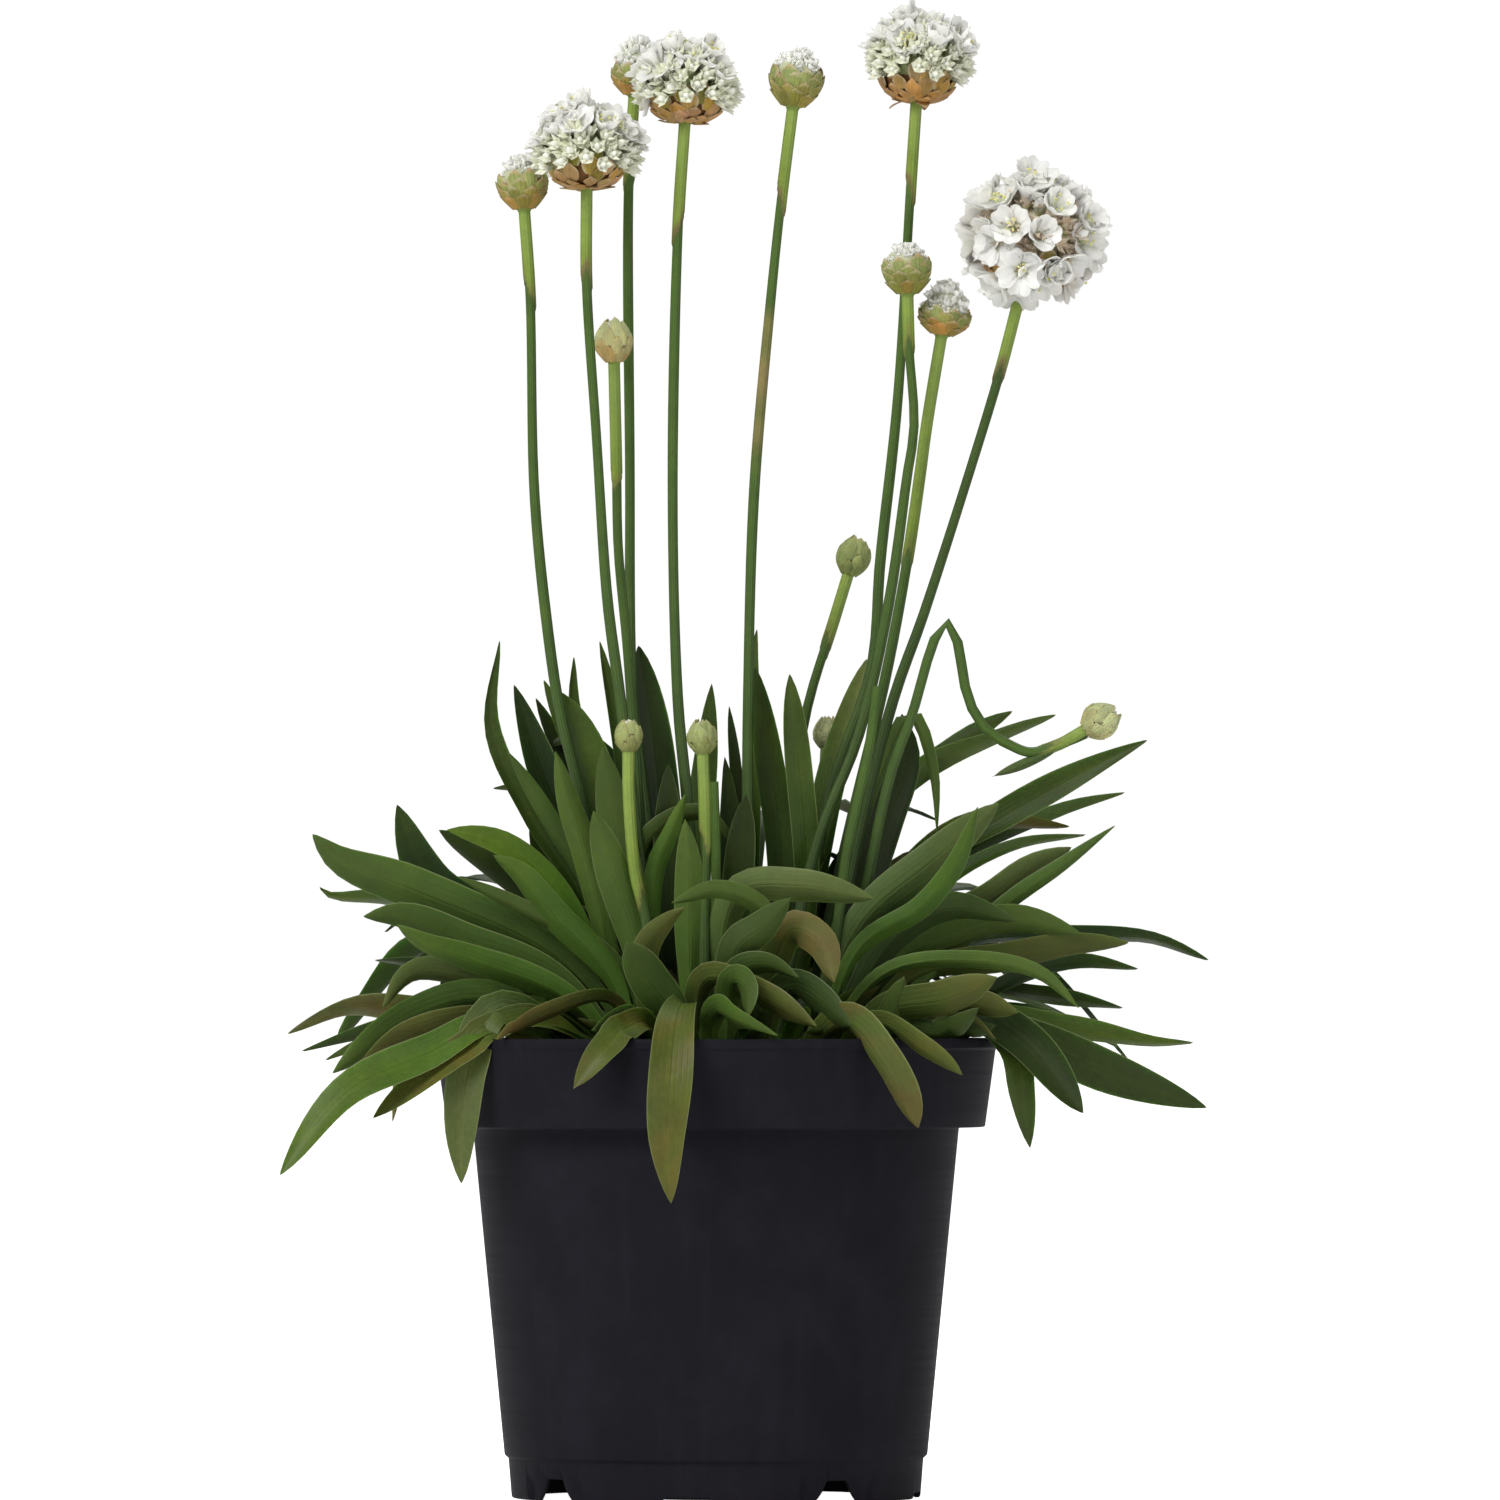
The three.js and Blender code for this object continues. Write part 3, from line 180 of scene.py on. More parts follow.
# Flower stalks: length of the sheath, y at the root and at the head, and points x, z from the crown up.
STALKS = {
    "a": (20, (2, 4), ((-19, 92), (-30, 156), (-36, 181), (-39, 201), (-42, 232), (-43, 277), (-44.4, 298))),
    "b": (22, (-8, -8), ((-11, 92), (-22, 184), (-25, 207), (-27.5, 244), (-29.8, 280), (-29.8, 302))),
    "c": (21, (8, 14), ((-10, 92), (-14, 139), (-18, 171), (-19.6, 188), (-20, 238), (-20.3, 303),
        (-19, 325))),
    "d": (25, (-2, -4), ((-4, 92), (-6.2, 155), (-8.8, 184), (-10, 232), (-8.8, 292), (-7.2, 317.5))),
    "e": (22, (2, 0), ((6, 92), (7.2, 145), (7.4, 184), (8.8, 232), (12.5, 275), (15, 299), (17.8, 321.5))),
    "f": (21, (12, 8), ((15, 92), (26, 161), (36, 192), (38, 216), (42, 253), (45, 302), (46.4, 323))),
    "g": (14, (-8, -4), ((11, 92), (23, 150), (33, 176), (40, 207), (44, 235), (45.7, 247),
        (44.6, 265), (44.2, 278))),
    "h": (54, (2, 2), ((17, 92), (30, 151), (39, 188.5), (44, 215), (47, 235), (48.6, 247), (52.2, 268.8))),
    "i": (22, (-4, -8), ((20, 92), (40, 181), (48, 204), (58, 235), (65.6, 260), (70.5, 279))),
    "j": (26, (2, 3), ((-14, 92), (-18, 161), (-20.3, 194.5), (-22.6, 219), (-23, 237), (-23.6, 262.5))),
    "k": (18, (17, 22), ((12, 92), (19, 170), (21.5, 184), (27.4, 203), (30.7, 213.8))),
    "l": (12, (0, -15), ((26, 92), (40, 166), (45, 180), (50.4, 198), (52.8, 201.5), (54.8, 199.5),
        (56, 194.5), (58.2, 183.5), (62.4, 176.7), (67.5, 173.5), (72.3, 171.8), (79, 173.6), (85, 177))),
    "m": (36, (-20, -26), ((-14, 92), (-16, 133), (-18.5, 144), (-20, 163), (-20, 172))),
    "n": (20, (-22, -26), ((-3, 92), (-2.5, 155), (-3, 171.5))),
    "o_cut": (0, (-14, -14), ((-1, 92), (0, 123), (0, 136), (0, 150), (-0.5, 165))),
    "q_cut": (0, (-12, -14), ((24, 92), (30, 148), (32, 157.5), (35.3, 173), (37.2, 187))),
    "r": (8, (21, 26), ((21, 92), (24.5, 154), (25.6, 173.5))),
}
# The free pointed end of stalk l's sheath, made as a small blade.
SHEATH_TAIL = (((85, -15, 176), (74.5, -14.7, 170.7), (64, -14.4, 166.3)), 2.4, 1.0, "grey", 90.0)

# Open heads: radius of the ball, its middle above the stalk, lowest florets in degrees, open florets,
# florets still in bud, and how far the bracts have turned brown (0 to 1).
FLOWERS = {
    "b": (13.9, 7.6, 2, 30, 48, 0.75),
    "d": (13.4, 7.2, -4, 30, 44, 0.85),
    "f": (13.8, 8.8, 0, 28, 48, 1.0),
    "i": (17.6, 11.8, -66, 62, 30, 0.7),
}
# Half-open buds: radius, height, share that the bracts cover, and how far they have turned brown.
HALF_OPEN = {
    "a": (5.7, 12.8, 0.68, 0.45),
    "c": (5.4, 14.2, 0.50, 0.6),
    "e": (6.1, 13.6, 0.70, 0.3),
    "g": (5.5, 11.8, 0.74, 0.25),
    "h": (5.8, 12.6, 0.50, 0.6),
}
# Closed buds: radius, height, how far the bracts have turned brown, and how pale they are.
CLOSED = {
    "j": (4.4, 9.8, 0.5, 0.9),
    "k": (3.9, 8.8, 0.0, 0.3),
    "l": (4.1, 8.4, 0.2, 0.85),
    "m": (3.0, 7.2, 0.1, 0.35),
    "n": (3.3, 7.4, 0.05, 0.35),
    "r": (3.1, 7.0, 0.0, 1.0),
}


def draw(item, question):
    """A repeatable number from 0 to 1: the fraction of 43758.5453 sin(12.9898 item + 78.233 question)."""
    s = np.sin(np.asarray(item) * 12.9898 + question * 78.233) * 43758.5453
    return s - np.floor(s)


def shaken(items, question):
    """Three repeatable numbers from -0.5 to 0.5 for each item, by this question and the next two."""
    return np.stack([draw(items, question + n) - 0.5 for n in range(3)], axis=1)


def mix(a, b, t):
    """a at t = 0, b at t = 1, straight between."""
    return a + (b - a) * t


def ease(t):
    """The smooth step 3t^2 - 2t^3, held to 0 and 1 outside."""
    u = np.clip(t, 0.0, 1.0)
    return u * u * (3.0 - 2.0 * u)


def unit(v):
    """Vectors scaled to length 1."""
    return v / np.maximum(np.linalg.norm(v, axis=-1, keepdims=True), 1e-12)


def dot(a, b):
    """Scalar products of rows, kept as a last axis of one."""
    return np.sum(a * b, axis=-1, keepdims=True)


def circle(count):
    """Even turns round a circle, in radians."""
    return np.linspace(0, 2 * math.pi, count, endpoint=False)


def polar(radius, turn, z):
    """Points at a radius, a turn and a height, each spread over the others' shapes."""
    return np.stack(np.broadcast_arrays(radius * np.cos(turn), radius * np.sin(turn), z), axis=-1)


def spiral(up, phase=0.0):
    """Directions at given heights of a unit ball, each a golden angle further round than the last."""
    return polar(np.sqrt(np.maximum(1 - up ** 2, 0)), np.arange(len(up)) * GOLDEN_ANGLE + phase, up)


def add_object(name, data):
    """An object for a mesh, light or camera, linked to the scene."""
    made = bpy.data.objects.new(name, data)
    bpy.context.scene.collection.objects.link(made)
    return made


def smooth_path(points, shares):
    """Places and directions at shares of the length of a centripetal Catmull-Rom curve, and its length.

    Each span is the cubic whose end slopes weigh the neighbouring chords by the square roots of their
    lengths; the curve goes on past its ends by one mirrored point.
    """
    steps_in_span = 32
    p = np.asarray(points, float)
    row = np.vstack([2 * p[0] - p[1], p, 2 * p[-1] - p[-2]])
    p0, p1, p2, p3 = row[:-3], row[1:-2], row[2:-1], row[3:]
    d0, d1, d2 = (np.sqrt(np.linalg.norm(b - a, axis=1))[:, None] for a, b in ((p0, p1), (p1, p2), (p2, p3)))
    m1 = ((p1 - p0) / d0 - (p2 - p0) / (d0 + d1) + (p2 - p1) / d1) * d1
    m2 = ((p2 - p1) / d1 - (p3 - p1) / (d1 + d2) + (p3 - p2) / d2) * d1
    t = np.linspace(0.0, 1.0, steps_in_span, endpoint=False)[None, :, None]
    cubic = (2 * p1 - 2 * p2 + m1 + m2)[:, None] * t ** 3
    square = (3 * p2 - 3 * p1 - 2 * m1 - m2)[:, None] * t ** 2
    dense = (p1[:, None] + m1[:, None] * t + square + cubic).reshape(-1, 3)
    return resample(np.vstack([dense, p[-1]]), shares)


def resample(dense, shares):
    """Places and directions at shares of the length of a dense polyline, and its length."""
    run = np.concatenate([[0.0], np.cumsum(np.linalg.norm(np.diff(dense, axis=0), axis=1))])
    shares = np.asarray(shares, float)
    at = lambda s: np.stack([np.interp(s * run[-1], run, dense[:, k]) for k in range(3)], axis=1)
    step = 0.006
    ahead = at(np.clip(shares + step, 0, 1)) - at(np.clip(shares - step, 0, 1))
    return at(shares), unit(ahead), run[-1]


SHARP_ANGLE = math.radians(58)


class Shells:
    """Closed surfaces gathered for one mesh: points in millimetres, faces, and values at each point."""

    def __init__(self):
        self.points, self.quads, self.tris, self.values = [], [], [], []
        self.count = 0

    def loft(self, grid, start, end, tint, marks=None, under=None):
        """Adds closed shells through rings, with a pole at each end.

        grid is copies x rings x around x 3; start and end are copies x 3. tint and marks have the grid's
        shape, or one that spreads to it, and under has it without the last axis. A copy whose signed
        volume is negative is turned inside out.
        """
        copies, rings, around, _ = grid.shape
        points = np.concatenate([start[:, None], grid.reshape(copies, -1, 3), end[:, None]], axis=1)
        k = np.arange(around)
        ring = np.arange(rings - 1)[:, None] * around + 1
        nxt = (k + 1) % around
        quads = np.stack([ring + k, ring + nxt, ring + around + nxt, ring + around + k], axis=-1)
        quads = quads.reshape(-1, 4)
        top = 1 + (rings - 1) * around
        low = np.stack([np.zeros_like(k), 1 + nxt, 1 + k], axis=-1)
        high = np.stack([np.full_like(k, top + around), top + k, top + nxt], axis=-1)
        tris = np.vstack([low, high])
        cut = np.vstack([tris, quads[:, [0, 1, 2]], quads[:, [0, 2, 3]]])
        a, b, c = (points[:, cut[:, n]] for n in range(3))
        inside_out = np.sum(a * np.cross(b, c), axis=(1, 2)) < 0
        offset = (np.arange(copies) * points.shape[1] + self.count)[:, None, None]
        for faces, store in ((quads, self.quads), (tris, self.tris)):
            placed = faces[None] + offset
            placed[inside_out] = placed[inside_out][:, :, ::-1]
            store.append(placed.reshape(-1, faces.shape[1]))
        self.points.append(points.reshape(-1, 3))
        self.count += copies * points.shape[1]
        tint = np.broadcast_to(tint, grid.shape)
        marks = np.broadcast_to(0.0 if marks is None else marks, grid.shape)
        under = np.broadcast_to(0.0 if under is None else under, grid.shape[:3])[..., None]
        values = np.concatenate([tint, marks, under], axis=-1)
        ends = [values[:, [0]].mean(axis=2), values.reshape(copies, -1, 7), values[:, [-1]].mean(axis=2)]
        self.values.append(np.concatenate(ends, axis=1).reshape(-1, 7))

    def mesh(self, name):
        """Puts everything into one mesh, in metres, with the attributes tint, marks and under."""
        points = np.concatenate(self.points) * MM
        quads = np.concatenate(self.quads)
        tris = np.concatenate(self.tris)
        values = np.concatenate(self.values)
        mesh = bpy.data.meshes.new(name)
        mesh.vertices.add(len(points))
        mesh.vertices.foreach_set("co", points.astype(np.float32).ravel())
        mesh.loops.add(quads.size + tris.size)
        corners = np.concatenate([quads.ravel(), tris.ravel()])
        mesh.loops.foreach_set("vertex_index", corners.astype(np.int32))
        mesh.polygons.add(len(quads) + len(tris))
        starts = np.concatenate([np.arange(len(quads)) * 4, quads.size + np.arange(len(tris)) * 3])
        mesh.polygons.foreach_set("loop_start", starts.astype(np.int32))
        mesh.polygons.foreach_set("use_smooth", np.ones(len(starts), bool))
        mesh.update(calc_edges=True)
        rgba = np.concatenate([values[:, :3], np.ones((len(values), 1))], axis=1)
        for key, kind, part, numbers in (("tint", "FLOAT_COLOR", "color", rgba),
                                         ("marks", "FLOAT_VECTOR", "vector", values[:, 3:6]),
                                         ("under", "FLOAT", "value", values[:, 6])):
            store = mesh.attributes.new(key, kind, "POINT")
            store.data.foreach_set(part, numbers.astype(np.float32).ravel())
        if mesh.validate():
            raise RuntimeError(f"{name} has faces that Blender had to mend")
        mesh.set_sharp_from_angle(angle=SHARP_ANGLE)
        return mesh

    def piece(self, name, material, slot, replaces=()):
        """Makes the object, rides it on the plant's body and hides the frame's nodes that it stands for."""
        piece = add_object(name, self.mesh(name))
        piece.data.materials.append(material)
        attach(piece, "root")
        if replaces:
            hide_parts(*replaces)
        return piece


# Rings across a blade: places from edge to edge on the upper face, then back along the lower one.
UPPER = np.array([-1.0, -0.8, -0.5, -0.2, 0.0, 0.2, 0.5, 0.8, 1.0])
LOWER = np.array([0.8, 0.5, 0.2, 0.0, -0.2, -0.5, -0.8])
ACROSS = np.concatenate([UPPER, LOWER])
UNDER = np.concatenate([np.zeros(len(UPPER)), np.ones(len(LOWER))])
# The same driving sizes as the frame's.
POT_HEIGHT = 106.0
RIM_RADIUS = 65.0
CROWN = np.array([2.0, -5.0, 94.0])
CROWN_SIZE = (37.0, 34.0, 9.0)
CROWN_TINT = np.array([0.030, 0.034, 0.012])
# How far leaves stay from the middle line of the collar's wall, that line's radius, and where it starts.
WALL_CLEARANCE = 3.4
WALL_MIDDLE = RIM_RADIUS - 1.6
WALL_START = 84.0
LEAF_STATIONS = 30
HEART_STATIONS = 12
LEAF_SLIM = 0.91


def clear_wall(path):
    """Pushes a middle line out of a rounded zone about the collar's wall.

    The zone is every point nearer than the clearance to the wall's middle line, in the plane of the axis.
    """
    radius = np.maximum(np.linalg.norm(path[:, :2], axis=1), 1e-6)
    outward = path[:, :2] / radius[:, None]
    core = np.clip(path[:, 2], WALL_START, POT_HEIGHT - 1.0)
    away_r, away_z = radius - WALL_MIDDLE, path[:, 2] - core
    gap = np.maximum(np.hypot(away_r, away_z), 1e-6)
    push = np.maximum(WALL_CLEARANCE - gap, 0.0) / gap
    out = path.copy()
    out[:, :2] += outward * (away_r * push)[:, None]
    out[:, 2] += away_z * push
    return out


def blade_outline(s, blunt):
    """Half width along a blade, 1 at most.

    It is an eased rise to the widest place, and then (1 - t^blunt)^0.8, with t from 0 there to 1 at the tip.
    """
    widest = 0.68
    t = np.clip((s - widest) / (1 - widest), 0, 1)
    return np.where(s < widest, 0.34 + 0.66 * ease((s - 0.08) / (widest - 0.08)), (1 - t ** blunt) ** 0.8)


def blade_frames(direction, heading, turn, s):
    """Face and side vectors along a blade.

    The side starts level and square to the heading, and the face is on the upper side near the root. The
    blade then turns towards the front, upper or lower face first, whichever is nearer, by the angle
    between face and front times turn, eased in over the first half.
    """
    level = np.array([-heading[1], heading[0], 0.0])
    level = -level if level[1] > 0 else level
    side = unit(level - direction * dot(direction, level))
    face = unit(np.cross(direction, side))
    inward = np.array([-heading[0] * 0.4, -heading[1] * 0.4, 1.0])
    near_root = np.searchsorted(s, 0.2)
    if np.dot(face[near_root], inward) < 0:
        face = -face
    front = np.array([0.0, -1.0, 0.0])
    angle = np.unwrap(np.arctan2(dot(side, front), dot(face, front))[:, 0], period=math.pi)
    middle = angle[np.searchsorted(s, 0.5)]
    angle = (angle - math.pi * np.round(middle / math.pi)) * turn * ease(s / 0.5)
    angle = angle[:, None]
    turned = face * np.cos(angle) + side * np.sin(angle)
    return turned, unit(np.cross(turned, direction))


def blade_middle(points, turn, shares):
    """A blade's middle line, clear of the pot's wall and smoothed six times, with its frames and length."""
    path = clear_wall(smooth_path(points, np.linspace(0, 1, 160))[0])
    for _ in range(6):
        path[1:-1] = (path[:-2] + 2 * path[1:-1] + path[2:]) / 4
    path, direction, length = resample(path, shares)
    heading = np.subtract(points[-1], points[0]) * (1.0, 1.0, 0.0)
    if np.linalg.norm(heading) < 6:
        heading = np.array([points[0][0] - CROWN[0], 20.0, 0.0])
    face, side = blade_frames(direction, unit(heading), turn, shares)
    return path, direction, face, side, length


def add_blades(shells, blades, channel, thickness, stations=LEAF_STATIONS):
    """Adds leaves as closed blades in whole arrays.

    A blade is given as (points, width, turn, tint, seed). Across it, at u from -1 to 1, the upper face
    stands half times channel times |u|^1.8 above the middle line, less a groove exp(-(u/0.14)^2) and plus
    a margin wave |u|^3 sin(along). The lower face lies a thickness (1 - u^2)^0.6 below it, with a keel
    exp(-(u/0.2)^2). The blade twists by up to a quarter radian either way, and its tint goes over to the
    tip's and, on rusty leaves, to patches where two sine waves add up.
    """
    s = np.linspace(0.0, 1.0, stations) ** 0.94
    s[-1] = 0.993
    made = [blade_middle(points, turn, s) for points, _, turn, _, _ in blades]
    path, direction, face, side = (np.stack([m[k] for m in made]) for k in range(4))
    length = np.array([m[4] for m in made])[:, None, None]
    width = np.array([b[1] for b in blades], float)[:, None, None]
    seed = np.array([b[4] for b in blades], float)[:, None, None]
    u = ACROSS[None, None, :]
    t = s[None, :, None]
    half = width / 2 * blade_outline(t, mix(1.8, 3.4, draw(seed, 11)))
    wave = np.abs(u) ** 3 * half * mix(0.05, 0.2, draw(seed, 1))
    phase = np.where(u > 0, 2.6, 0.0) + 6 * draw(seed, 3)
    ripple = wave * np.sin(t * length / mix(4.5, 9.0, draw(seed, 2)) + phase)
    fold = mix(0.7, 1.5, draw(seed, 4)) * mix(1.5, 0.8, t)
    groove = 0.28 * np.exp(-(u / 0.14) ** 2) * (1 - t)
    upper = half * channel * fold * np.abs(u) ** 1.8 + ripple * ease(t / 0.3) - groove
    keel = 0.45 * np.exp(-(u / 0.2) ** 2) * (1 - t) ** 1.2
    depth = thickness * (1 - u ** 2) ** 0.6 * mix(1.0, 0.6, t) + keel
    height = upper - np.where(UNDER > 0, depth, 0.0)
    twist = (draw(seed, 5) - 0.5) * 0.5 * ease(t)
    grid = path[:, :, None] + side[:, :, None] * (u * half * np.cos(twist))[..., None]
    grid = grid + face[:, :, None] * (height + u * half * np.sin(twist))[..., None]
    start = path[:, 0] - direction[:, 0] * 0.8
    end = path[:, -1] + direction[:, -1] * 0.7
    base = np.array([TINTS[b[3]][0] for b in blades])[:, None, None]
    tip = np.array([TINTS[b[3]][1] for b in blades])[:, None, None]
    vary = mix(0.86, 1.16, draw(seed, 6))[..., None]
    aged = ease((t[..., None] - mix(0.35, 0.7, draw(seed, 7))[..., None]) / 0.4)
    tint = mix(base, tip, aged * np.ones_like(u)[..., None]) * vary
    rust = np.array([RUST.get(b[3], 0.0) for b in blades])[:, None, None]
    cloud = np.sin(t * length / 5.0 + 9 * draw(seed, 9))
    cloud = cloud + np.sin(t * length / 2.3 + u * 2.5 + 9 * draw(seed, 10))
    patch = rust * ease((cloud + 1.6 * (t + np.abs(u) ** 2 * 0.5) - 1.0) / 1.6)
    tint = mix(tint, RUST_TINT, 0.6 * patch[..., None])
    flat = np.ones(np.broadcast(t, u, seed).shape)
    marks = np.stack([flat * (u + 1) / 2, flat * t, flat * draw(seed, 8)], axis=-1)
    shells.loft(grid, start, end, tint, marks, UNDER[None, None, :] * flat)


def front_blades():
    """The leaves of the photographed side, with y shared out along each leaf's run unless it is given."""
    blades = []
    for k, (root_x, root_y, tip_y, width, turn, tint, way) in enumerate(FRONT_LEAVES):
        flat = np.array([(root_x, CROWN[2])] + [(p[0], p[-1]) for p in way], float)
        run = np.concatenate([[0], np.cumsum(np.linalg.norm(np.diff(flat, axis=0), axis=1))])
        y = mix(root_y, tip_y, run / run[-1])
        for n, p in enumerate(way):
            if len(p) == 3:
                y[n + 1] = p[1]
        points = np.column_stack([flat[:, 0], y, flat[:, 1]])
        blades.append((points, width * LEAF_SLIM, turn, tint, k + 1.0))
    return blades


def spread_blade(bearing, reach, heights, root_out, width, tint, seed):
    """A leaf by rule: out from the crown at a bearing, through two knees at given heights, to its tip."""
    out = np.array([math.cos(bearing), math.sin(bearing), 0.0])
    root = CROWN * (1, 1, 0) + out * root_out
    knees = tuple(zip((0.0, 0.3, 0.68, 1.0), (CROWN[2],) + tuple(heights)))
    points = np.array([root + out * reach * part + (0, 0, z) for part, z in knees])
    return points, width, 0.0, tint, seed


def back_blades():
    """The 22 broad leaves of the far side, by rule, then 60 narrow ones between them and at the two sides."""
    tints = ("deep", "mid", "dark", "mid", "bright", "deep", "olive", "mid")
    blades = []
    for k in range(22):
        bearing = math.radians(mix(22, 158, (k + 0.5) / 22) + 8 * (draw(k, 1) - 0.5))
        rise = (0.06, 0.42, 0.8, 0.25)[k % 4] + 0.12 * draw(k, 2)
        reach = mix(92, 62 * 0.55, rise) * mix(0.9, 1.08, draw(k, 3))
        heights = (mix(118, 150, rise), mix(122, 166, rise), mix(96, 168, rise))
        root_out, width = mix(16, 27, draw(k, 4)), mix(6, 10, draw(k, 5))
        blades.append(spread_blade(bearing, reach, heights, root_out, width, tints[k % 8], 200.0 + k))
    # Three kinds of narrow leaf in turn, low, middle and upright: reach and tip height, each from and to.
    kinds = (((64, 84), (96, 112)), ((48, 70), (112, 128)), ((20, 40), (128, 148)))
    for k in range(60):
        reaches, tips = kinds[k % 3]
        bearing = math.radians(mix(14, 166, (k + 0.5) / 60) + 10 * (draw(k, 11) - 0.5))
        reach = min(mix(*reaches, draw(k, 13)), 98 / max(abs(math.cos(bearing)), 0.01) - 27)
        tip_z = mix(*tips, draw(k, 14))
        rise = tip_z - CROWN[2]
        heights = (CROWN[2] + rise * 0.5 + 12, CROWN[2] + rise * 0.85 + 10, tip_z)
        root_out, width = mix(12, 27, draw(k, 16)), mix(5, 9.5, draw(k, 15))
        blades.append(spread_blade(bearing, reach, heights, root_out, width, tints[(k * 3) % 8], 300.0 + k))
    return blades


def heart_blades():
    """Short young leaves that stand close together over the crown, on a sunflower spiral."""
    count, tints = 70, ("mid", "lime", "deep", "dark", "olive")
    blades = []
    for k in range(count):
        far = math.sqrt((k + 0.5) / count)
        out = np.array([math.cos(k * GOLDEN_ANGLE), math.sin(k * GOLDEN_ANGLE), 0.0])
        root = CROWN + out * (30 * far, 26 * far, 0)
        tall = mix(36, 15, far) * mix(0.7, 1.25, draw(k, 21))
        lean = mix(4, 22, far) * mix(0.7, 1.3, draw(k, 22))
        side = np.array([-out[1], out[0], 0.0]) * (draw(k, 23) - 0.5) * 8
        knee = root + out * lean * 0.35 + (0, 0, tall * 0.6)
        points = np.array([root, knee, root + out * lean + side + (0, 0, tall)])
        blades.append((points, mix(3.6, 6.5, draw(k, 24)), 0.3, tints[k % 5], 400.0 + k))
    return blades


def add_crown(shells):
    """The mound of packed leaf bases: rings of radius (1 - level^4)^0.5 at each level, with fine ridges."""
    level = np.linspace(-0.95, 0.96, 14)[:, None]
    turn = circle(96)[None]
    spread = np.sqrt(1 - level ** 4) * (1 + 0.02 * np.sin(turn * 31) * np.cos(level * 9))
    pole = np.array([[0.0, 0.0, CROWN_SIZE[2]]])
    grid = CROWN + polar(spread, turn, level) * CROWN_SIZE
    shells.loft(grid[None], CROWN - pole, CROWN + pole, CROWN_TINT)


STALK_SIDES = 16
# How far a stalk goes on into its head.
HEAD_SEAT = 1.6
STALK_LOW = np.array([0.037, 0.068, 0.017])
STALK_MID = np.array([0.054, 0.103, 0.016])
SHEATH_TINT = np.array([0.172, 0.245, 0.036])
SHEATH_TOP = np.array([0.215, 0.300, 0.062])
SHEATH_EDGE = np.array([0.150, 0.095, 0.045])
TAN = np.array([0.260, 0.185, 0.075])


def stalk_points(name):
    """The stalk's way with y shared out by height or by order, whichever is further on."""
    _, ys, way = STALKS[name]
    x, z = np.array(way, float).T
    order = np.linspace(0, 1, len(way))
    return np.column_stack([x, mix(ys[0], ys[1], np.maximum(order, (z - z[0]) / (z[-1] - z[0]))), z])


def round_rings(path, direction, radius):
    """Circles across a path. radius is stations x sides; the Y axis guides where each circle starts."""
    a = unit(np.array([0.0, 1.0, 0.0]) - direction * direction[:, 1:2])
    b = np.cross(direction, a)
    turn = circle(radius.shape[1])
    ring = a[:, None] * np.cos(turn)[None, :, None] + b[:, None] * np.sin(turn)[None, :, None]
    return path[:, None] + ring * radius[..., None]


def add_stalk(shells, name, radius, sheath_radius):
    """A round stalk. It is thicker over its sheath, whose torn lower edge runs up and down by two cosines.

    A cut stalk ends in a shallow tan hollow, and any other goes on into its head. Stalk e has a tan scar.
    """
    sheath = STALKS[name][0]
    number = list(STALKS).index(name) + 1.0
    way = stalk_points(name)
    length = smooth_path(way, (0.0, 1.0))[2]
    edge = 1 - sheath / length if sheath else 2.0
    shares = np.linspace(0, 1, max(24, int(length / 5)))
    if sheath:
        torn = np.linspace(edge - 5 / length, min(edge + 5 / length, 0.995), 22)
        shares = np.sort(np.concatenate([shares, torn]))
    path, direction, _ = smooth_path(way, shares)
    turn = circle(STALK_SIDES)[None]
    s = shares[:, None]
    tongue = 3.2 * np.cos(turn + 6 * draw(number, 1)) + 0.8 * np.cos(3 * turn + 6 * draw(number, 2))
    past = (s - edge) * length - tongue
    on = ease(past / 0.8 + 0.5) if sheath else 0 * past
    swell = 1 + 0.05 * np.sin(s * length / 17 + number)
    rings = round_rings(path, direction, mix(radius * mix(1.26, 0.98, s) * swell,
                                             sheath_radius * mix(1.0, 0.95, s), on))
    green = mix(STALK_LOW, STALK_MID, ease((s - 0.15) / 0.6)[..., None]) * mix(0.92, 1.08, draw(number, 3))
    green = green * {"i": 0.72, "o_cut": 1.25}.get(name, 1.0)
    papery = mix(SHEATH_TINT, SHEATH_TOP, ease(past / max(sheath, 1))[..., None])
    tint = mix(green, papery, on[..., None])
    if sheath:
        rim = np.exp(-((past - 0.8) / 1.4) ** 2) * (0.85 if name in "bdfie" else 0.45)
        tint = mix(tint, SHEATH_EDGE, rim[..., None])
    if name == "e":
        z = path[:, 2]
        scar = ease((z - 238) / 8) * ease((276 - z) / 6) * (0.45 + 0.55 * np.sin(z / 2.3 + 1.0) ** 2)
        tint = mix(tint, TAN, (scar * 0.8)[:, None, None])
    if name.endswith("cut"):
        last = rings[-1:] * 0.45 + path[-1] * 0.55 - direction[-1] * 0.25
        last_tint = np.broadcast_to(TAN, tint[-1:].shape)
        end = path[-1:] - direction[-1:] * 0.3
    else:
        last, last_tint = rings[-1:] + direction[-1] * HEAD_SEAT, tint[-1:]
        end = path[-1:] + direction[-1:] * (HEAD_SEAT + 0.1)
    rings, tint, s = map(np.concatenate, ((rings, last), (tint, last_tint), (s, s[-1:])))
    around = turn / (2 * math.pi) * np.ones_like(s)
    marks = np.stack([around, s * np.ones_like(around), around * 0 + draw(number, 4)], axis=-1)
    shells.loft(rings[None], path[:1] - direction[:1] * 0.2, end, tint[None], marks[None])


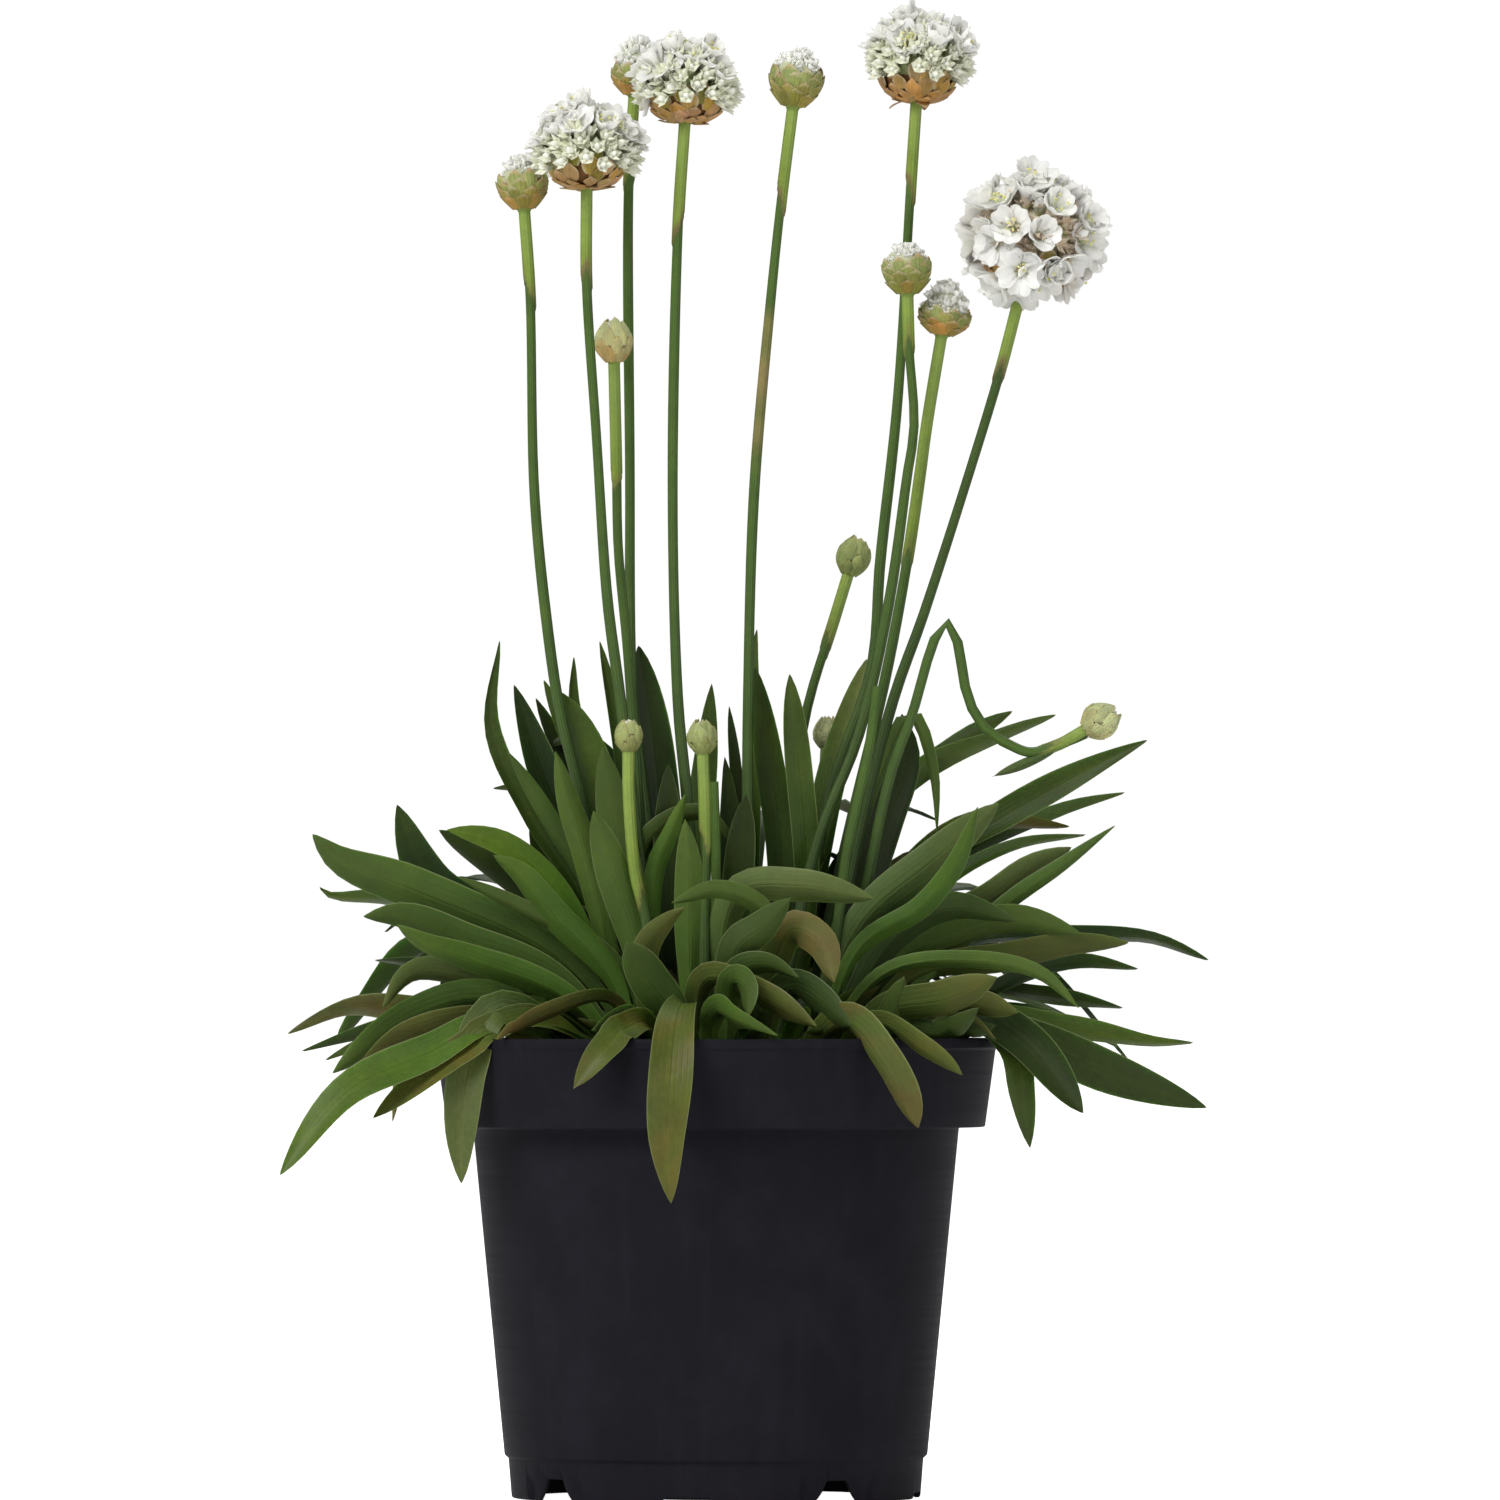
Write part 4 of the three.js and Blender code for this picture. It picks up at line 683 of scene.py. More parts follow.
def seat_of(name):
    """Where a head sits: the stalk's end, and the matrix that turns +Z to its direction the short way."""
    path, direction, _ = smooth_path(stalk_points(name), (0.0, 1.0))
    turn = Vector((0, 0, 1)).rotation_difference(Vector(direction[1]))
    return path[1], np.array(turn.to_matrix())


def to_plant(seat, *arrays):
    """Points in a head's own frame, brought into the plant's."""
    place, turn = seat
    return [array @ turn.T + place for array in arrays]


# Rings of bracts and petals: places from edge to edge above, then back below, and stations along them.
FLAKE_UNDER = np.array([0, 0, 0, 0, 0, 1, 1, 1], float)
SCALE_ACROSS = np.array([-1.0, -0.6, 0.0, 0.6, 1.0, 0.6, 0.0, -0.6])
SCALE_ALONG = np.array([0.02, 0.14, 0.32, 0.52, 0.72, 0.88, 0.97])
PETAL_ACROSS = np.array([-1.0, -0.55, 0.0, 0.55, 1.0, 0.55, 0.0, -0.55])
PETAL_ALONG = np.array([0.03, 0.2, 0.42, 0.64, 0.84, 0.97])
# Linear colours of bracts, and of a dome's core.
BRACT_BROWN = np.array([0.440, 0.220, 0.048])
BRACT_DARK = np.array([0.170, 0.080, 0.024])
BRACT_GREEN = np.array([0.140, 0.190, 0.022])
BRACT_PALE = np.array([0.430, 0.470, 0.230])
BRACT_PINK = np.array([0.470, 0.270, 0.170])
CORE_GREEN = np.array([0.300, 0.360, 0.130])
# Rows of bracts round an open head's cup, from the stalk up: start, length, share of brown, width, how
# papery the margin is, and flare.
CUP_ROWS = np.array([
    (0.06, 0.40, 1.0, 3.9, 0.20, 0.40),
    (0.24, 0.42, 1.0, 4.6, 0.25, 0.30),
    (0.42, 0.46, 0.9, 5.0, 0.35, 0.25),
    (0.62, 0.50, 0.6, 5.0, 0.60, 0.30),
    (0.84, 0.56, 0.3, 4.5, 0.80, 0.30),
])


def bowl(low, wide, tall):
    """An open head's cup, as radius and height at t: a quarter ellipse up to t = 1, then straight up."""
    def at(t):
        turn = np.clip(t, 0, 1) * math.pi / 2
        above = np.maximum(t - 1, 0) * tall * math.pi / 2
        return mix(low, wide, np.sin(turn)) + 0.12 * above, tall * (1 - np.cos(turn)) + above
    return at


def barrel(radius, tall, first, last):
    """A bud's body, as radius and height at t: radius times sin(pi x) while x goes from first to last."""
    def at(t):
        turn = math.pi * mix(first, last, np.clip(t, 0, 1.2))
        return np.maximum(radius * np.sin(turn), 0.25), tall * t
    return at


def apron(t):
    """The way of bracts that hang back from a cup: out, and down more and more."""
    return 1.6 + 5.6 * t, 0.5 - 0.5 * t - 1.6 * t ** 2


def add_flakes(shells, seat, at, across, along, tip, tint, third):
    """Closed thin flakes. at(u, v, low) gives their points, with low 1 below, and tip is v at the far end."""
    u, v = across[None, None, :], along[None, :, None]
    one = np.ones((1, 1, 1))
    grid = at(u, v, FLAKE_UNDER[None, None, :])
    start, end = at(0 * one, 0 * one, one)[:, 0, 0], at(0 * one, tip * one, 0.5 * one)[:, 0, 0]
    flat = np.ones(grid.shape[:3])
    marks = np.stack([flat * u, flat * v, flat * third], axis=-1)
    shells.loft(*to_plant(seat, grid, start, end), tint, marks, FLAKE_UNDER[None, None, :])


def add_scales(shells, seat, body, base, turn, length, width, lift, flare, tints, papery, seed):
    """Overlapping bracts that follow a body given by radius and height at t.

    A bract starts at t = base and is length long in t, at u across and v along. It stands off the body
    by lift v + flare v^3 + 0.5 (1 - u^2). Half width runs as (v + 0.15)^0.5 (1 - v^4)^0.5, and the sides
    end lower than the middle by 0.22 u^2. The under face lies 0.3 below in the middle.
    """
    k = np.arange(len(turn))
    col = lambda values: np.broadcast_to(np.asarray(values, float), k.shape)[:, None, None]
    shake = col(draw(k, seed)) - 0.5

    def at(u, v, low):
        t = col(base) + v * (1 - 0.22 * u ** 2) * col(length)
        radius, z = body(t)
        next_radius, next_z = body(t + 0.02)
        slope = np.hypot(next_radius - radius, next_z - z)
        out_r, out_z = (next_z - z) / slope, (radius - next_radius) / slope
        half = np.sqrt(v + 0.15) * np.maximum(1 - v ** 4, 0) ** 0.5 * col(width) / 2
        bulge = 0.5 * (1 - u ** 2) - 0.3 * low * (1 - u ** 2) ** 0.5 + 0.6 * shake * u * v
        off = 0.12 + (col(lift) + 0.3 * shake) * v + col(flare) * v ** 3 + bulge
        angle = col(turn) + u * half / np.maximum(radius, 1.2)
        return polar(radius + off * out_r, angle, z + off * out_z)

    tint = np.asarray(tints)[:, None, None] * mix(0.82, 1.18, draw(k, seed + 1))[:, None, None, None]
    add_flakes(shells, seat, at, SCALE_ACROSS, SCALE_ALONG, 1.0, tint, col(papery))


def add_turned(shells, seat, radius, z, tint):
    """A turned body: a radius at each height, closed at both ends."""
    grid = polar(radius[:, None], circle(24)[None], z[:, None])[None]
    start, end = np.array([[0.0, 0.0, z[0]]]), np.array([[0.0, 0.0, z[-1]]])
    shells.loft(*to_plant(seat, grid, start, end), tint)


def add_rounds(shells, seat, foot, axis, along, girth, end, tint, start=None):
    """Bodies round many axes: rings at distances along each, with a girth for each copy, ring and side."""
    a, b = frames_of(axis)
    turn = circle(girth.shape[2])[None, None]
    wide = lambda w: w[:, None, None, :]
    grid = (wide(foot) + wide(axis) * (along * np.ones_like(girth))[..., None]
            + wide(a) * (girth * np.cos(turn))[..., None] + wide(b) * (girth * np.sin(turn))[..., None])
    shells.loft(*to_plant(seat, grid, foot if start is None else start, end), tint)


def tiers(rows, per_row, seed):
    """Turns and row numbers of bracts that stand in rows, each shifted by half a bract from the last."""
    row = np.repeat(np.arange(rows), per_row)
    place = np.tile(np.arange(per_row), rows)
    wobble = (draw(np.arange(rows * per_row), seed) - 0.5) * 0.35
    return (place + 0.5 * row + wobble) * 2 * math.pi / per_row, row


def add_neck(shells, seat, radius):
    """The stalk's green flare under a bud."""
    z = np.array([-2.4, -1.8, -1.1, -0.5, 0.0, 0.5])
    add_turned(shells, seat, mix(1.22, radius, np.array([0.0, 0.03, 0.14, 0.42, 0.8, 1.0])), z, SHEATH_TOP)


def add_involucre(shells, seat, name, number):
    """The cup below an open head: a bowl and five rows of bracts. On the brown cup three more hang back."""
    radius, _, _, _, _, brown = FLOWERS[name]
    wide, tall = radius * 0.60, radius * 0.40
    body = bowl(1.9, wide, tall)
    r, z = body(np.linspace(0, 1, 10))
    r, z = np.append(np.maximum(r - 0.35, 0.9), wide * 0.4), np.append(z, tall + 0.2)
    add_turned(shells, seat, r, z, BRACT_DARK)
    turn, row = tiers(len(CUP_ROWS), 10, number)
    k = np.arange(len(turn))
    base, length, share, width, papery, flare = CUP_ROWS.T[:, row]
    turn = turn + 0.3 * (draw(k, number + 8) - 0.5)
    base = base + 0.06 * draw(k, number + 6)
    length = length * mix(0.7, 1.2, draw(k, number + 4))
    share = share * brown * mix(0.6, 1.2, draw(k, number + 5))
    tint = mix(BRACT_GREEN, BRACT_BROWN, np.clip(share, 0, 1)[:, None])
    tint = mix(tint, BRACT_PINK, 0.6 * draw(k, number + 7)[:, None] ** 2)
    width = width * radius / 14 * mix(0.8, 1.2, draw(k, number + 9))
    lift = mix(0.0, 0.6, draw(k, number + 10))
    flare = flare * mix(-0.2, 1.8, draw(k, number + 11))
    add_scales(shells, seat, body, base, turn, length, width, lift, flare, tint, papery, number)
    if brown == 1.0:
        turn = np.array([3.3, -1.1, 1.2])
        length = mix(0.75, 1.0, draw(np.arange(3), number + 9))
        tint = np.repeat([mix(BRACT_BROWN, BRACT_DARK, 0.5)], 3, axis=0)
        add_scales(shells, seat, apron, 0.0, turn, length, 5.0, 0.3, 0.4, tint, 0.5, number + 3)


def add_bud(shells, seat, radius, height, brown, number, top, pale=0.05):
    """A bud's body and its four rows of broad bracts, up to the share top of its height."""
    tall = height * top
    closed = top > 0.9
    body = barrel(radius - 0.45, tall, 0.13, 0.90 if closed else 0.70)
    r, z = body(np.linspace(0, 1, 14))
    r, z = np.append(r - 0.15, 0.15), np.append(z, tall + 0.2)
    add_turned(shells, seat, r, z, mix(BRACT_GREEN, CREAM, 0.5))
    add_neck(shells, seat, radius * 0.38)
    rows = 4
    turn, row = tiers(rows, 7 if closed else 8, number)
    k = np.arange(len(turn))
    base = np.linspace(0.0, 0.56 if closed else 0.46, rows)[row]
    length = np.linspace(0.40, 0.46 if closed else 0.48, rows)[row] * mix(0.84, 1.10, draw(k, number + 3))
    green = mix(BRACT_GREEN, BRACT_PALE, pale + (0.2 if closed else 0.4) * row[:, None] / rows)
    aged = brown * np.array([1.5, 0.9, 0.35, 0.15])[row] * mix(0.4, 1.3, draw(k, number + 4))
    tint = mix(green, BRACT_BROWN, np.clip(aged, 0, 0.95)[:, None])
    papery = np.linspace(0.4, 0.9, rows)[row] * (0.3 if closed else 0.75)
    width = radius * (0.95 if closed else 1.0) * mix(0.85, 1.15, draw(k, number + 5))
    flare = -0.1 if closed else 0.2
    add_scales(shells, seat, body, base, turn, length, width, 0.25, flare, tint, papery, number)


# Linear colours of petals, calyces and stamens.
WHITE = np.array([0.930, 0.925, 0.870])
CREAM = np.array([0.800, 0.820, 0.620])
LEAF_WHITE = np.array([0.580, 0.650, 0.380])
CALYX = np.array([0.720, 0.580, 0.430])
CALYX_PALE = np.array([0.770, 0.785, 0.580])
CALYX_GREEN = np.array([0.330, 0.410, 0.120])
ANTHER = np.array([0.640, 0.600, 0.110])
ANTHER_DARK = np.array([0.240, 0.190, 0.140])
FILAMENT = np.array([0.620, 0.700, 0.300])


def head_directions(count, lowest, phase, jitter, seed):
    """Directions spread evenly over a ball from its top down to the lowest angle, on a sunflower spiral."""
    k = np.arange(count)
    up = mix(1.0, math.sin(math.radians(lowest)), (k + 0.5) / count)
    return unit(spiral(up, phase) + shaken(k, seed) * jitter)


def frames_of(direction):
    """Two vectors square to each direction."""
    a = unit(np.cross(np.array([0.31, 0.89, 0.21]), direction))
    return a, np.cross(direction, a)


def add_petals(shells, seat, foot, axis, opening, petal_length, petal_width, seed):
    """Five petals for each floret at its foot.

    Along v a petal bends evenly from 36 degrees off the floret's axis to -8 + 105 opening degrees, so a
    small opening gives a goblet and a large one a saucer. It is narrow in the claw, widest at three
    quarters and notched at the end. Its edges stand up by 0.36 half u^2 and wave by 0.11 sin(3u) v.
    """
    n = len(foot)
    a, b = frames_of(axis)
    petal = np.arange(5)
    turn = draw(np.arange(n), seed)[:, None] * 6.28 + petal[None] * 2 * math.pi / 5
    turn = turn + 0.2 * (draw(np.arange(n)[:, None] * 5 + petal, seed + 1) - 0.5)
    radial = a[:, None] * np.cos(turn)[..., None] + b[:, None] * np.sin(turn)[..., None]
    axial = np.broadcast_to(axis[:, None], radial.shape)
    each = np.arange(n * 5)
    base, radial, axial, across = (w.reshape(-1, 1, 1, 3) for w in (
        np.repeat(foot, 5, axis=0), radial, axial, np.cross(axial, radial)))
    opened = (np.repeat(opening, 5) + 0.4 * (draw(each, seed + 2) - 0.5))[:, None, None]
    size = (petal_length * mix(0.88, 1.08, draw(each, seed + 3)))[:, None, None]
    first = math.radians(36)
    bend = np.radians(-8 + 105 * opened) - first
    bend = np.where(np.abs(bend) < 0.02, 0.02, bend)
    phase = 6 * draw(each, seed + 4)[:, None, None]

    def at(u, v, low):
        w = v - 0.10 * np.exp(-(u / 0.4) ** 2) * v ** 8
        turned = first + bend * w
        out = 0.45 + size * (np.cos(first) - np.cos(turned)) / bend
        up = size * (np.sin(turned) - np.sin(first)) / bend
        half = mix(0.16, 0.5, ease((v - 0.1) / 0.55)) * mix(1.0, 0.6, ease((v - 0.78) / 0.22)) * petal_width
        half = half * mix(0.8, 1.0, np.clip(opened, 0, 1))
        rise = half * 0.36 * u ** 2 + 0.11 * np.sin(u * 3.0 + phase) * v - 0.26 * low * (1 - u ** 2)
        place = radial * (out - rise * np.cos(turned))[..., None]
        place = place + axial * (up + rise * np.sin(turned))[..., None]
        return base + place + across * (u * half * np.ones_like(out))[..., None]

    shade = mix(0.94, 1.04, draw(each, seed + 5))[:, None, None, None]
    tint = mix(CREAM, WHITE, ease(PETAL_ALONG[None, :, None] / 0.42)[..., None]) * shade
    add_flakes(shells, seat, at, PETAL_ACROSS, PETAL_ALONG, 1.02, tint, 0.0)


def add_eggs(shells, seat, foot, axis, length, radius, low_tint, high_tint, sides=8, blunt=0.8):
    """Egg-shaped bodies: radius times sin(pi v^0.8)^blunt round the axis, with five faint ribs."""
    v = np.array([0.05, 0.2, 0.4, 0.6, 0.78, 0.92])[None, :, None]
    rib = 1 + 0.06 * np.cos(circle(sides)[None, None] * 5)
    girth = np.sin(math.pi * v ** 0.8) ** blunt * np.reshape(radius, (-1, 1, 1)) * rib
    girth = np.broadcast_to(girth, (len(foot),) + girth.shape[1:])
    tint = mix(low_tint, high_tint, ease(v / 0.8)[..., None])
    tint = tint * mix(0.9, 1.08, draw(np.arange(len(foot)), 3))[:, None, None, None]
    end = foot + axis * np.reshape(length, (-1, 1))
    add_rounds(shells, seat, foot, axis, v * np.reshape(length, (-1, 1, 1)), girth, end, tint)


def add_calyces(shells, seat, foot, axis, length, rim_tint, teeth=0.12):
    """Papery funnels: radius from 0.55 to 1.8, with five ribs and a toothed rim that turns inwards."""
    v = np.array([0.02, 0.3, 0.6, 0.85, 1.0, 0.86])[None, :, None]
    out = np.array([0.55, 0.85, 1.1, 1.45, 1.8, 0.9])[None, :, None]
    turn = circle(10)[None, None]
    tooth = np.cos(turn * 5) + 0.6 * np.sin(turn * 2 + 6 * draw(np.arange(len(foot)), 8)[:, None, None])
    girth = out * (1 + 0.10 * np.cos(turn * 5)) * np.ones((len(foot), 1, 1))
    tint = mix(CALYX_GREEN, rim_tint, ease(v / 0.8)[..., None])
    along = (v + teeth * tooth * v ** 3) * length
    add_rounds(shells, seat, foot, axis, along, girth, foot + axis * length * 0.75, tint, foot - axis * 0.1)


def add_stamens(shells, seat, foot, axis, seed):
    """Five thin threads in each floret, leaning out a little, each with an anther across its end."""
    n = len(foot)
    k = np.arange(n * 5)
    a, b = frames_of(axis)
    turn = (draw(np.arange(n), seed)[:, None] * 6 + np.arange(5) * 2 * math.pi / 5).reshape(-1, 1)
    lean = mix(0.15, 0.55, draw(k, seed + 1))[:, None]
    many = lambda w: np.repeat(w, 5, axis=0)
    way = unit(many(axis) + (many(a) * np.cos(turn) + many(b) * np.sin(turn)) * lean)
    tall = mix(3.0, 5.0, draw(k, seed + 2))[:, None]
    root = many(foot)
    v = np.array([0.02, 0.5, 1.0])[None, :, None]
    thread = np.full((n * 5, 3, 4), 0.11)
    add_rounds(shells, seat, root, way, v * tall[:, :, None], thread, root + way * (tall + 0.02), FILAMENT)
    tint = np.where(draw(k, seed + 3)[:, None, None, None] > 0.8, ANTHER_DARK, ANTHER)
    side = frames_of(way)[0]
    add_grains(shells, seat, root + way * tall - side * 0.55, side, 1.1, 0.3, tint)


def add_grains(shells, seat, foot, axis, length, radius, tint):
    """Small five-sided grains, radius times sin(pi v) round the axis."""
    v = np.array([0.15, 0.5, 0.85])[None, :, None]
    girth = np.sin(math.pi * v) * radius * np.ones((len(foot), 1, 5))
    add_rounds(shells, seat, foot, axis, v * length, girth, foot + axis * np.reshape(length, (-1, 1)), tint)


def add_open_head(shells, name, number, petal_length, petal_width):
    """A head in flower: a core, calyces, open florets with stamens, and florets still in bud.

    A whole head is a ball with brownish calyces. The others are domes with a fringe of pale green buds.
    """
    radius, middle, lowest, count, buds, _ = FLOWERS[name]
    whole = lowest < -30
    seat = seat_of(name)
    centre = np.array([0.0, 0.0, middle])
    fringe = CALYX if whole else CALYX_PALE
    t = np.linspace(0.04, 0.96, 12)
    core = radius * (0.56 if whole else 0.60)
    core_z = middle - np.cos(math.pi * t) * np.minimum(core, middle - 0.6)
    core_tint = mix(CALYX, CREAM, 0.4) if whole else CORE_GREEN
    add_turned(shells, seat, np.sin(math.pi * t) * core, core_z, core_tint)

    out = head_directions(count, lowest, number, 0.5, number)
    out = out[(out[:, 1] > -0.4) | (out[:, 2] > 0.3) | whole]
    k = np.arange(len(out))
    axis = unit(out + shaken(k, number + 3) * 0.9 + (0, 0, 0.1 if whole else 0.4))
    scale = 1.06 if whole else 1.0
    reach = radius * mix(0.84, 1.03, draw(k, number + 6))[:, None]
    opening = mix(0.12, 0.95, draw(k, number + 7))
    foot = centre + out * (reach - petal_length * scale * 0.8)
    add_petals(shells, seat, foot, axis, opening, petal_length * scale, petal_width * scale, number + 10)
    add_calyces(shells, seat, foot - axis * 2.6, axis, 3.6, fringe)
    add_stamens(shells, seat, foot[::2], axis[::2], number + 20)

    k = np.arange(buds)
    if whole:
        low = head_directions(buds, -60, number + 1.3, 0.3, number + 30)
    else:
        low = spiral(np.sin(np.radians(mix(30, -22, (k + 0.5) / buds))))
    size = mix(0.8, 1.12, draw(k, number + 31)) * (1.0 if whole else 0.8)
    root = centre + low * (radius * (0.84 if whole else 0.88) - 4.0 * size[:, None]) * (1, 1, 0.9)
    way = unit(low + (0, 0, 0.25))
    tip_tint = WHITE if whole else mix(CREAM, WHITE, 0.5)
    add_eggs(shells, seat, root, way, 4.8 * size, 1.35 * size, LEAF_WHITE, tip_tint)
    between = head_directions(110 if whole else 60, lowest - 6, number + 2.1, 0.4, number + 50)
    floor = centre + between * (core - 0.6) * (1, 1, 0.92)
    add_calyces(shells, seat, floor, unit(between + (0, 0, 0.1)), 3.6, fringe, 0.25)
    add_calyces(shells, seat, root - way * 0.8, way, 3.8, fringe, 0.2)


def add_tuft(shells, name, number, petal_length, petal_width):
    """The ragged white top of a half-open bud: blunt floret tips packed over a dome, petals among them."""
    radius, height, top, _ = HALF_OPEN[name]
    seat = seat_of(name)
    low = height * (top - 0.14)
    wide = radius * (0.90 if top < 0.6 else 0.78)
    size = np.array([wide, wide, height - low])
    t = np.linspace(0.0, 0.97, 8)
    dome_r, dome_z = wide * 0.82 * np.sqrt(1 - t ** 2), low + size[2] * 0.82 * t
    add_turned(shells, seat, dome_r, dome_z, mix(LEAF_WHITE, CREAM, 0.5))
    out = head_directions(64, 2, number, 0.25, number + 60)
    k = np.arange(len(out))
    tips = out * size * mix(0.90, 1.05, draw(k, number + 2))[:, None] + (0, 0, low)
    axis = unit(out + (0, 0, 0.8))
    tall = height * mix(0.24, 0.32, draw(k, number + 3))
    girth = radius * mix(0.13, 0.20, draw(k, number + 4))
    white = mix(CREAM, WHITE, 0.6)
    add_eggs(shells, seat, tips - axis * tall[:, None], axis, tall, girth, LEAF_WHITE, white, 6, 0.6)
    some = k % 3 == 1
    curled = 0.02 + 0.10 * draw(k[some], 5)
    add_petals(shells, seat, tips[some] - axis[some] * petal_length * 0.42, axis[some], curled,
               petal_length * 0.5, petal_width * 0.42, number + 40)


def add_closed_tip(shells, name, number):
    """Nine pale floret tips that show where a closed bud's bracts meet."""
    radius, height, _, _ = CLOSED[name]
    k = np.arange(9)
    turn = k * GOLDEN_ANGLE + number
    far = np.sqrt(k / 9.0) * radius * 0.42
    foot = polar(far, turn, height * (0.70 - 0.015 * k))
    axis = unit(polar(0.1 * far, turn, 1.0))
    white = mix(CREAM, WHITE, 0.6)
    add_eggs(shells, seat_of(name), foot, axis, height * 0.3, radius * 0.24, LEAF_WHITE, white)


# Pot: the same driving sizes as the frame's, with rounded corners.
COLLAR_FOOT_RADIUS = 62.1
COLLAR_FOOT_HEIGHT = 85.5
BODY_TOP_RADIUS = 56.1
BODY_FOOT_RADIUS = 48.8
BAND_HEIGHT = 9.2
BAND_RADIUS = 47.9
WALL = 1.3
FLOOR_UNDERSIDE = 5.5
FOOT_DISC_RADIUS = 19.0
DEEP_NOTCH_FACING = (-53, 37, 127, 217)
SHALLOW_NOTCH_FACING = (-8, 82, 172, 262)
DRAIN_COUNT = 4
DRAIN_RADIUS = 3.5
DRAIN_RING = 33.0
# Notch outlines: distances from a notch's middle, and the height of its edge there.
DEEP_NOTCH = ((3.0, 3.5, 4.3, 5.3, 6.1, 6.5), (5.0, 4.0, 2.5, 1.3, 0.5, 0.0))
SHALLOW_NOTCH = ((5.5, 5.9, 6.3), (1.35, 0.9, 0.0))
# The window round a deep notch where the band stands back: depth, half width and height, corner radius.
RECESS = 1.0
RECESS_SIZE = (10.5, 5.9)
RECESS_CORNER = 2.4
SOIL_HEIGHT = 94.6
SOIL_GAP = 0.35
PEAT = np.array([0.030, 0.020, 0.013])
PEAT_FIBRE = np.array([0.110, 0.066, 0.034])


def pot_outline():
    """Radius, height and corner radius of each corner, from the underside's middle round to the floor's."""
    return (
        (FOOT_DISC_RADIUS, 0, 0.5), (FOOT_DISC_RADIUS + 1.5, FLOOR_UNDERSIDE, 0.5),
        (BAND_RADIUS - 2.3, FLOOR_UNDERSIDE, 0.4), (BAND_RADIUS - 2.1, 0, 0.2), (BAND_RADIUS - 0.75, 0, 0.7),
        (BAND_RADIUS, BAND_HEIGHT, 0.25), (BODY_FOOT_RADIUS, BAND_HEIGHT + 0.7, 0.35),
        (BODY_TOP_RADIUS, COLLAR_FOOT_HEIGHT, 0.6), (COLLAR_FOOT_RADIUS, COLLAR_FOOT_HEIGHT, 0.5),
        (RIM_RADIUS - 0.45, POT_HEIGHT - 2.6, 0.3), (RIM_RADIUS, POT_HEIGHT - 2.2, 0.2),
        (RIM_RADIUS, POT_HEIGHT, 0.7), (RIM_RADIUS - 1.4, POT_HEIGHT, 0.5),
        (COLLAR_FOOT_RADIUS - WALL, COLLAR_FOOT_HEIGHT + WALL, 0.6),
        (BODY_TOP_RADIUS - WALL, COLLAR_FOOT_HEIGHT + WALL, 0.5),
        (BAND_RADIUS - WALL, FLOOR_UNDERSIDE + WALL, 1.2),
        (FOOT_DISC_RADIUS + 0.2, FLOOR_UNDERSIDE + WALL, 0.5), (FOOT_DISC_RADIUS - WALL, WALL, 0.5),
        (0.05, WALL, 0),
    )


def rounded_profile(outline, longest=3.0):
    """Joins corners by straight runs in short steps, and rounds each by a quadratic curve.

    The curve starts and ends a corner radius away from the corner.
    """
    corners = np.array(outline, float)
    at, size = corners[:, :2], corners[:, 2]
    made = [at[:1]]
    for k in range(1, len(at)):
        here, row = at[k], at[k:k + 1]
        if size[k] and k < len(at) - 1:
            p = here + unit(at[k - 1] - here) * size[k]
            q = here + unit(at[k + 1] - here) * size[k]
            t = np.linspace(0, 1, 5)[:, None]
            row = (1 - t) ** 2 * p + 2 * t * (1 - t) * here + t ** 2 * q
        gap = np.linalg.norm(row[0] - made[-1][-1])
        steps = int(min(gap / longest, 14))
        if steps:
            made.append(mix(made[-1][-1], row[0], (np.arange(steps) + 1)[:, None] / (steps + 1)))
        made.append(row)
    return np.concatenate(made)


def notch_distance(turn, facings):
    """Arc length in millimetres from each turn to the nearest notch's middle, at the foot band."""
    gaps = [(np.degrees(turn) + 90.0 - facing + 180.0) % 360.0 - 180.0 for facing in facings]
    return np.radians(np.min(np.abs(np.stack(gaps)), axis=0)) * BAND_RADIUS


def pot_turns():
    """Turns round the pot: even steps, with more beside each notch's and each recess's edges."""
    edges = np.array([2.4, 2.8, 3.2, 3.6, 4.2, 4.8, 5.4, 5.8, 6.2, 6.6, 8.0, 9.2, 9.8, 10.2, 10.5, 10.8])
    near = np.concatenate([edges, -edges]) / BAND_RADIUS
    more = [np.radians(facing - 90.0) + near for facing in DEEP_NOTCH_FACING + SHALLOW_NOTCH_FACING]
    turn = np.sort(np.concatenate([circle(216)] + more) % (2 * math.pi))
    return turn[np.concatenate([[True], np.diff(turn) > 0.0016])]


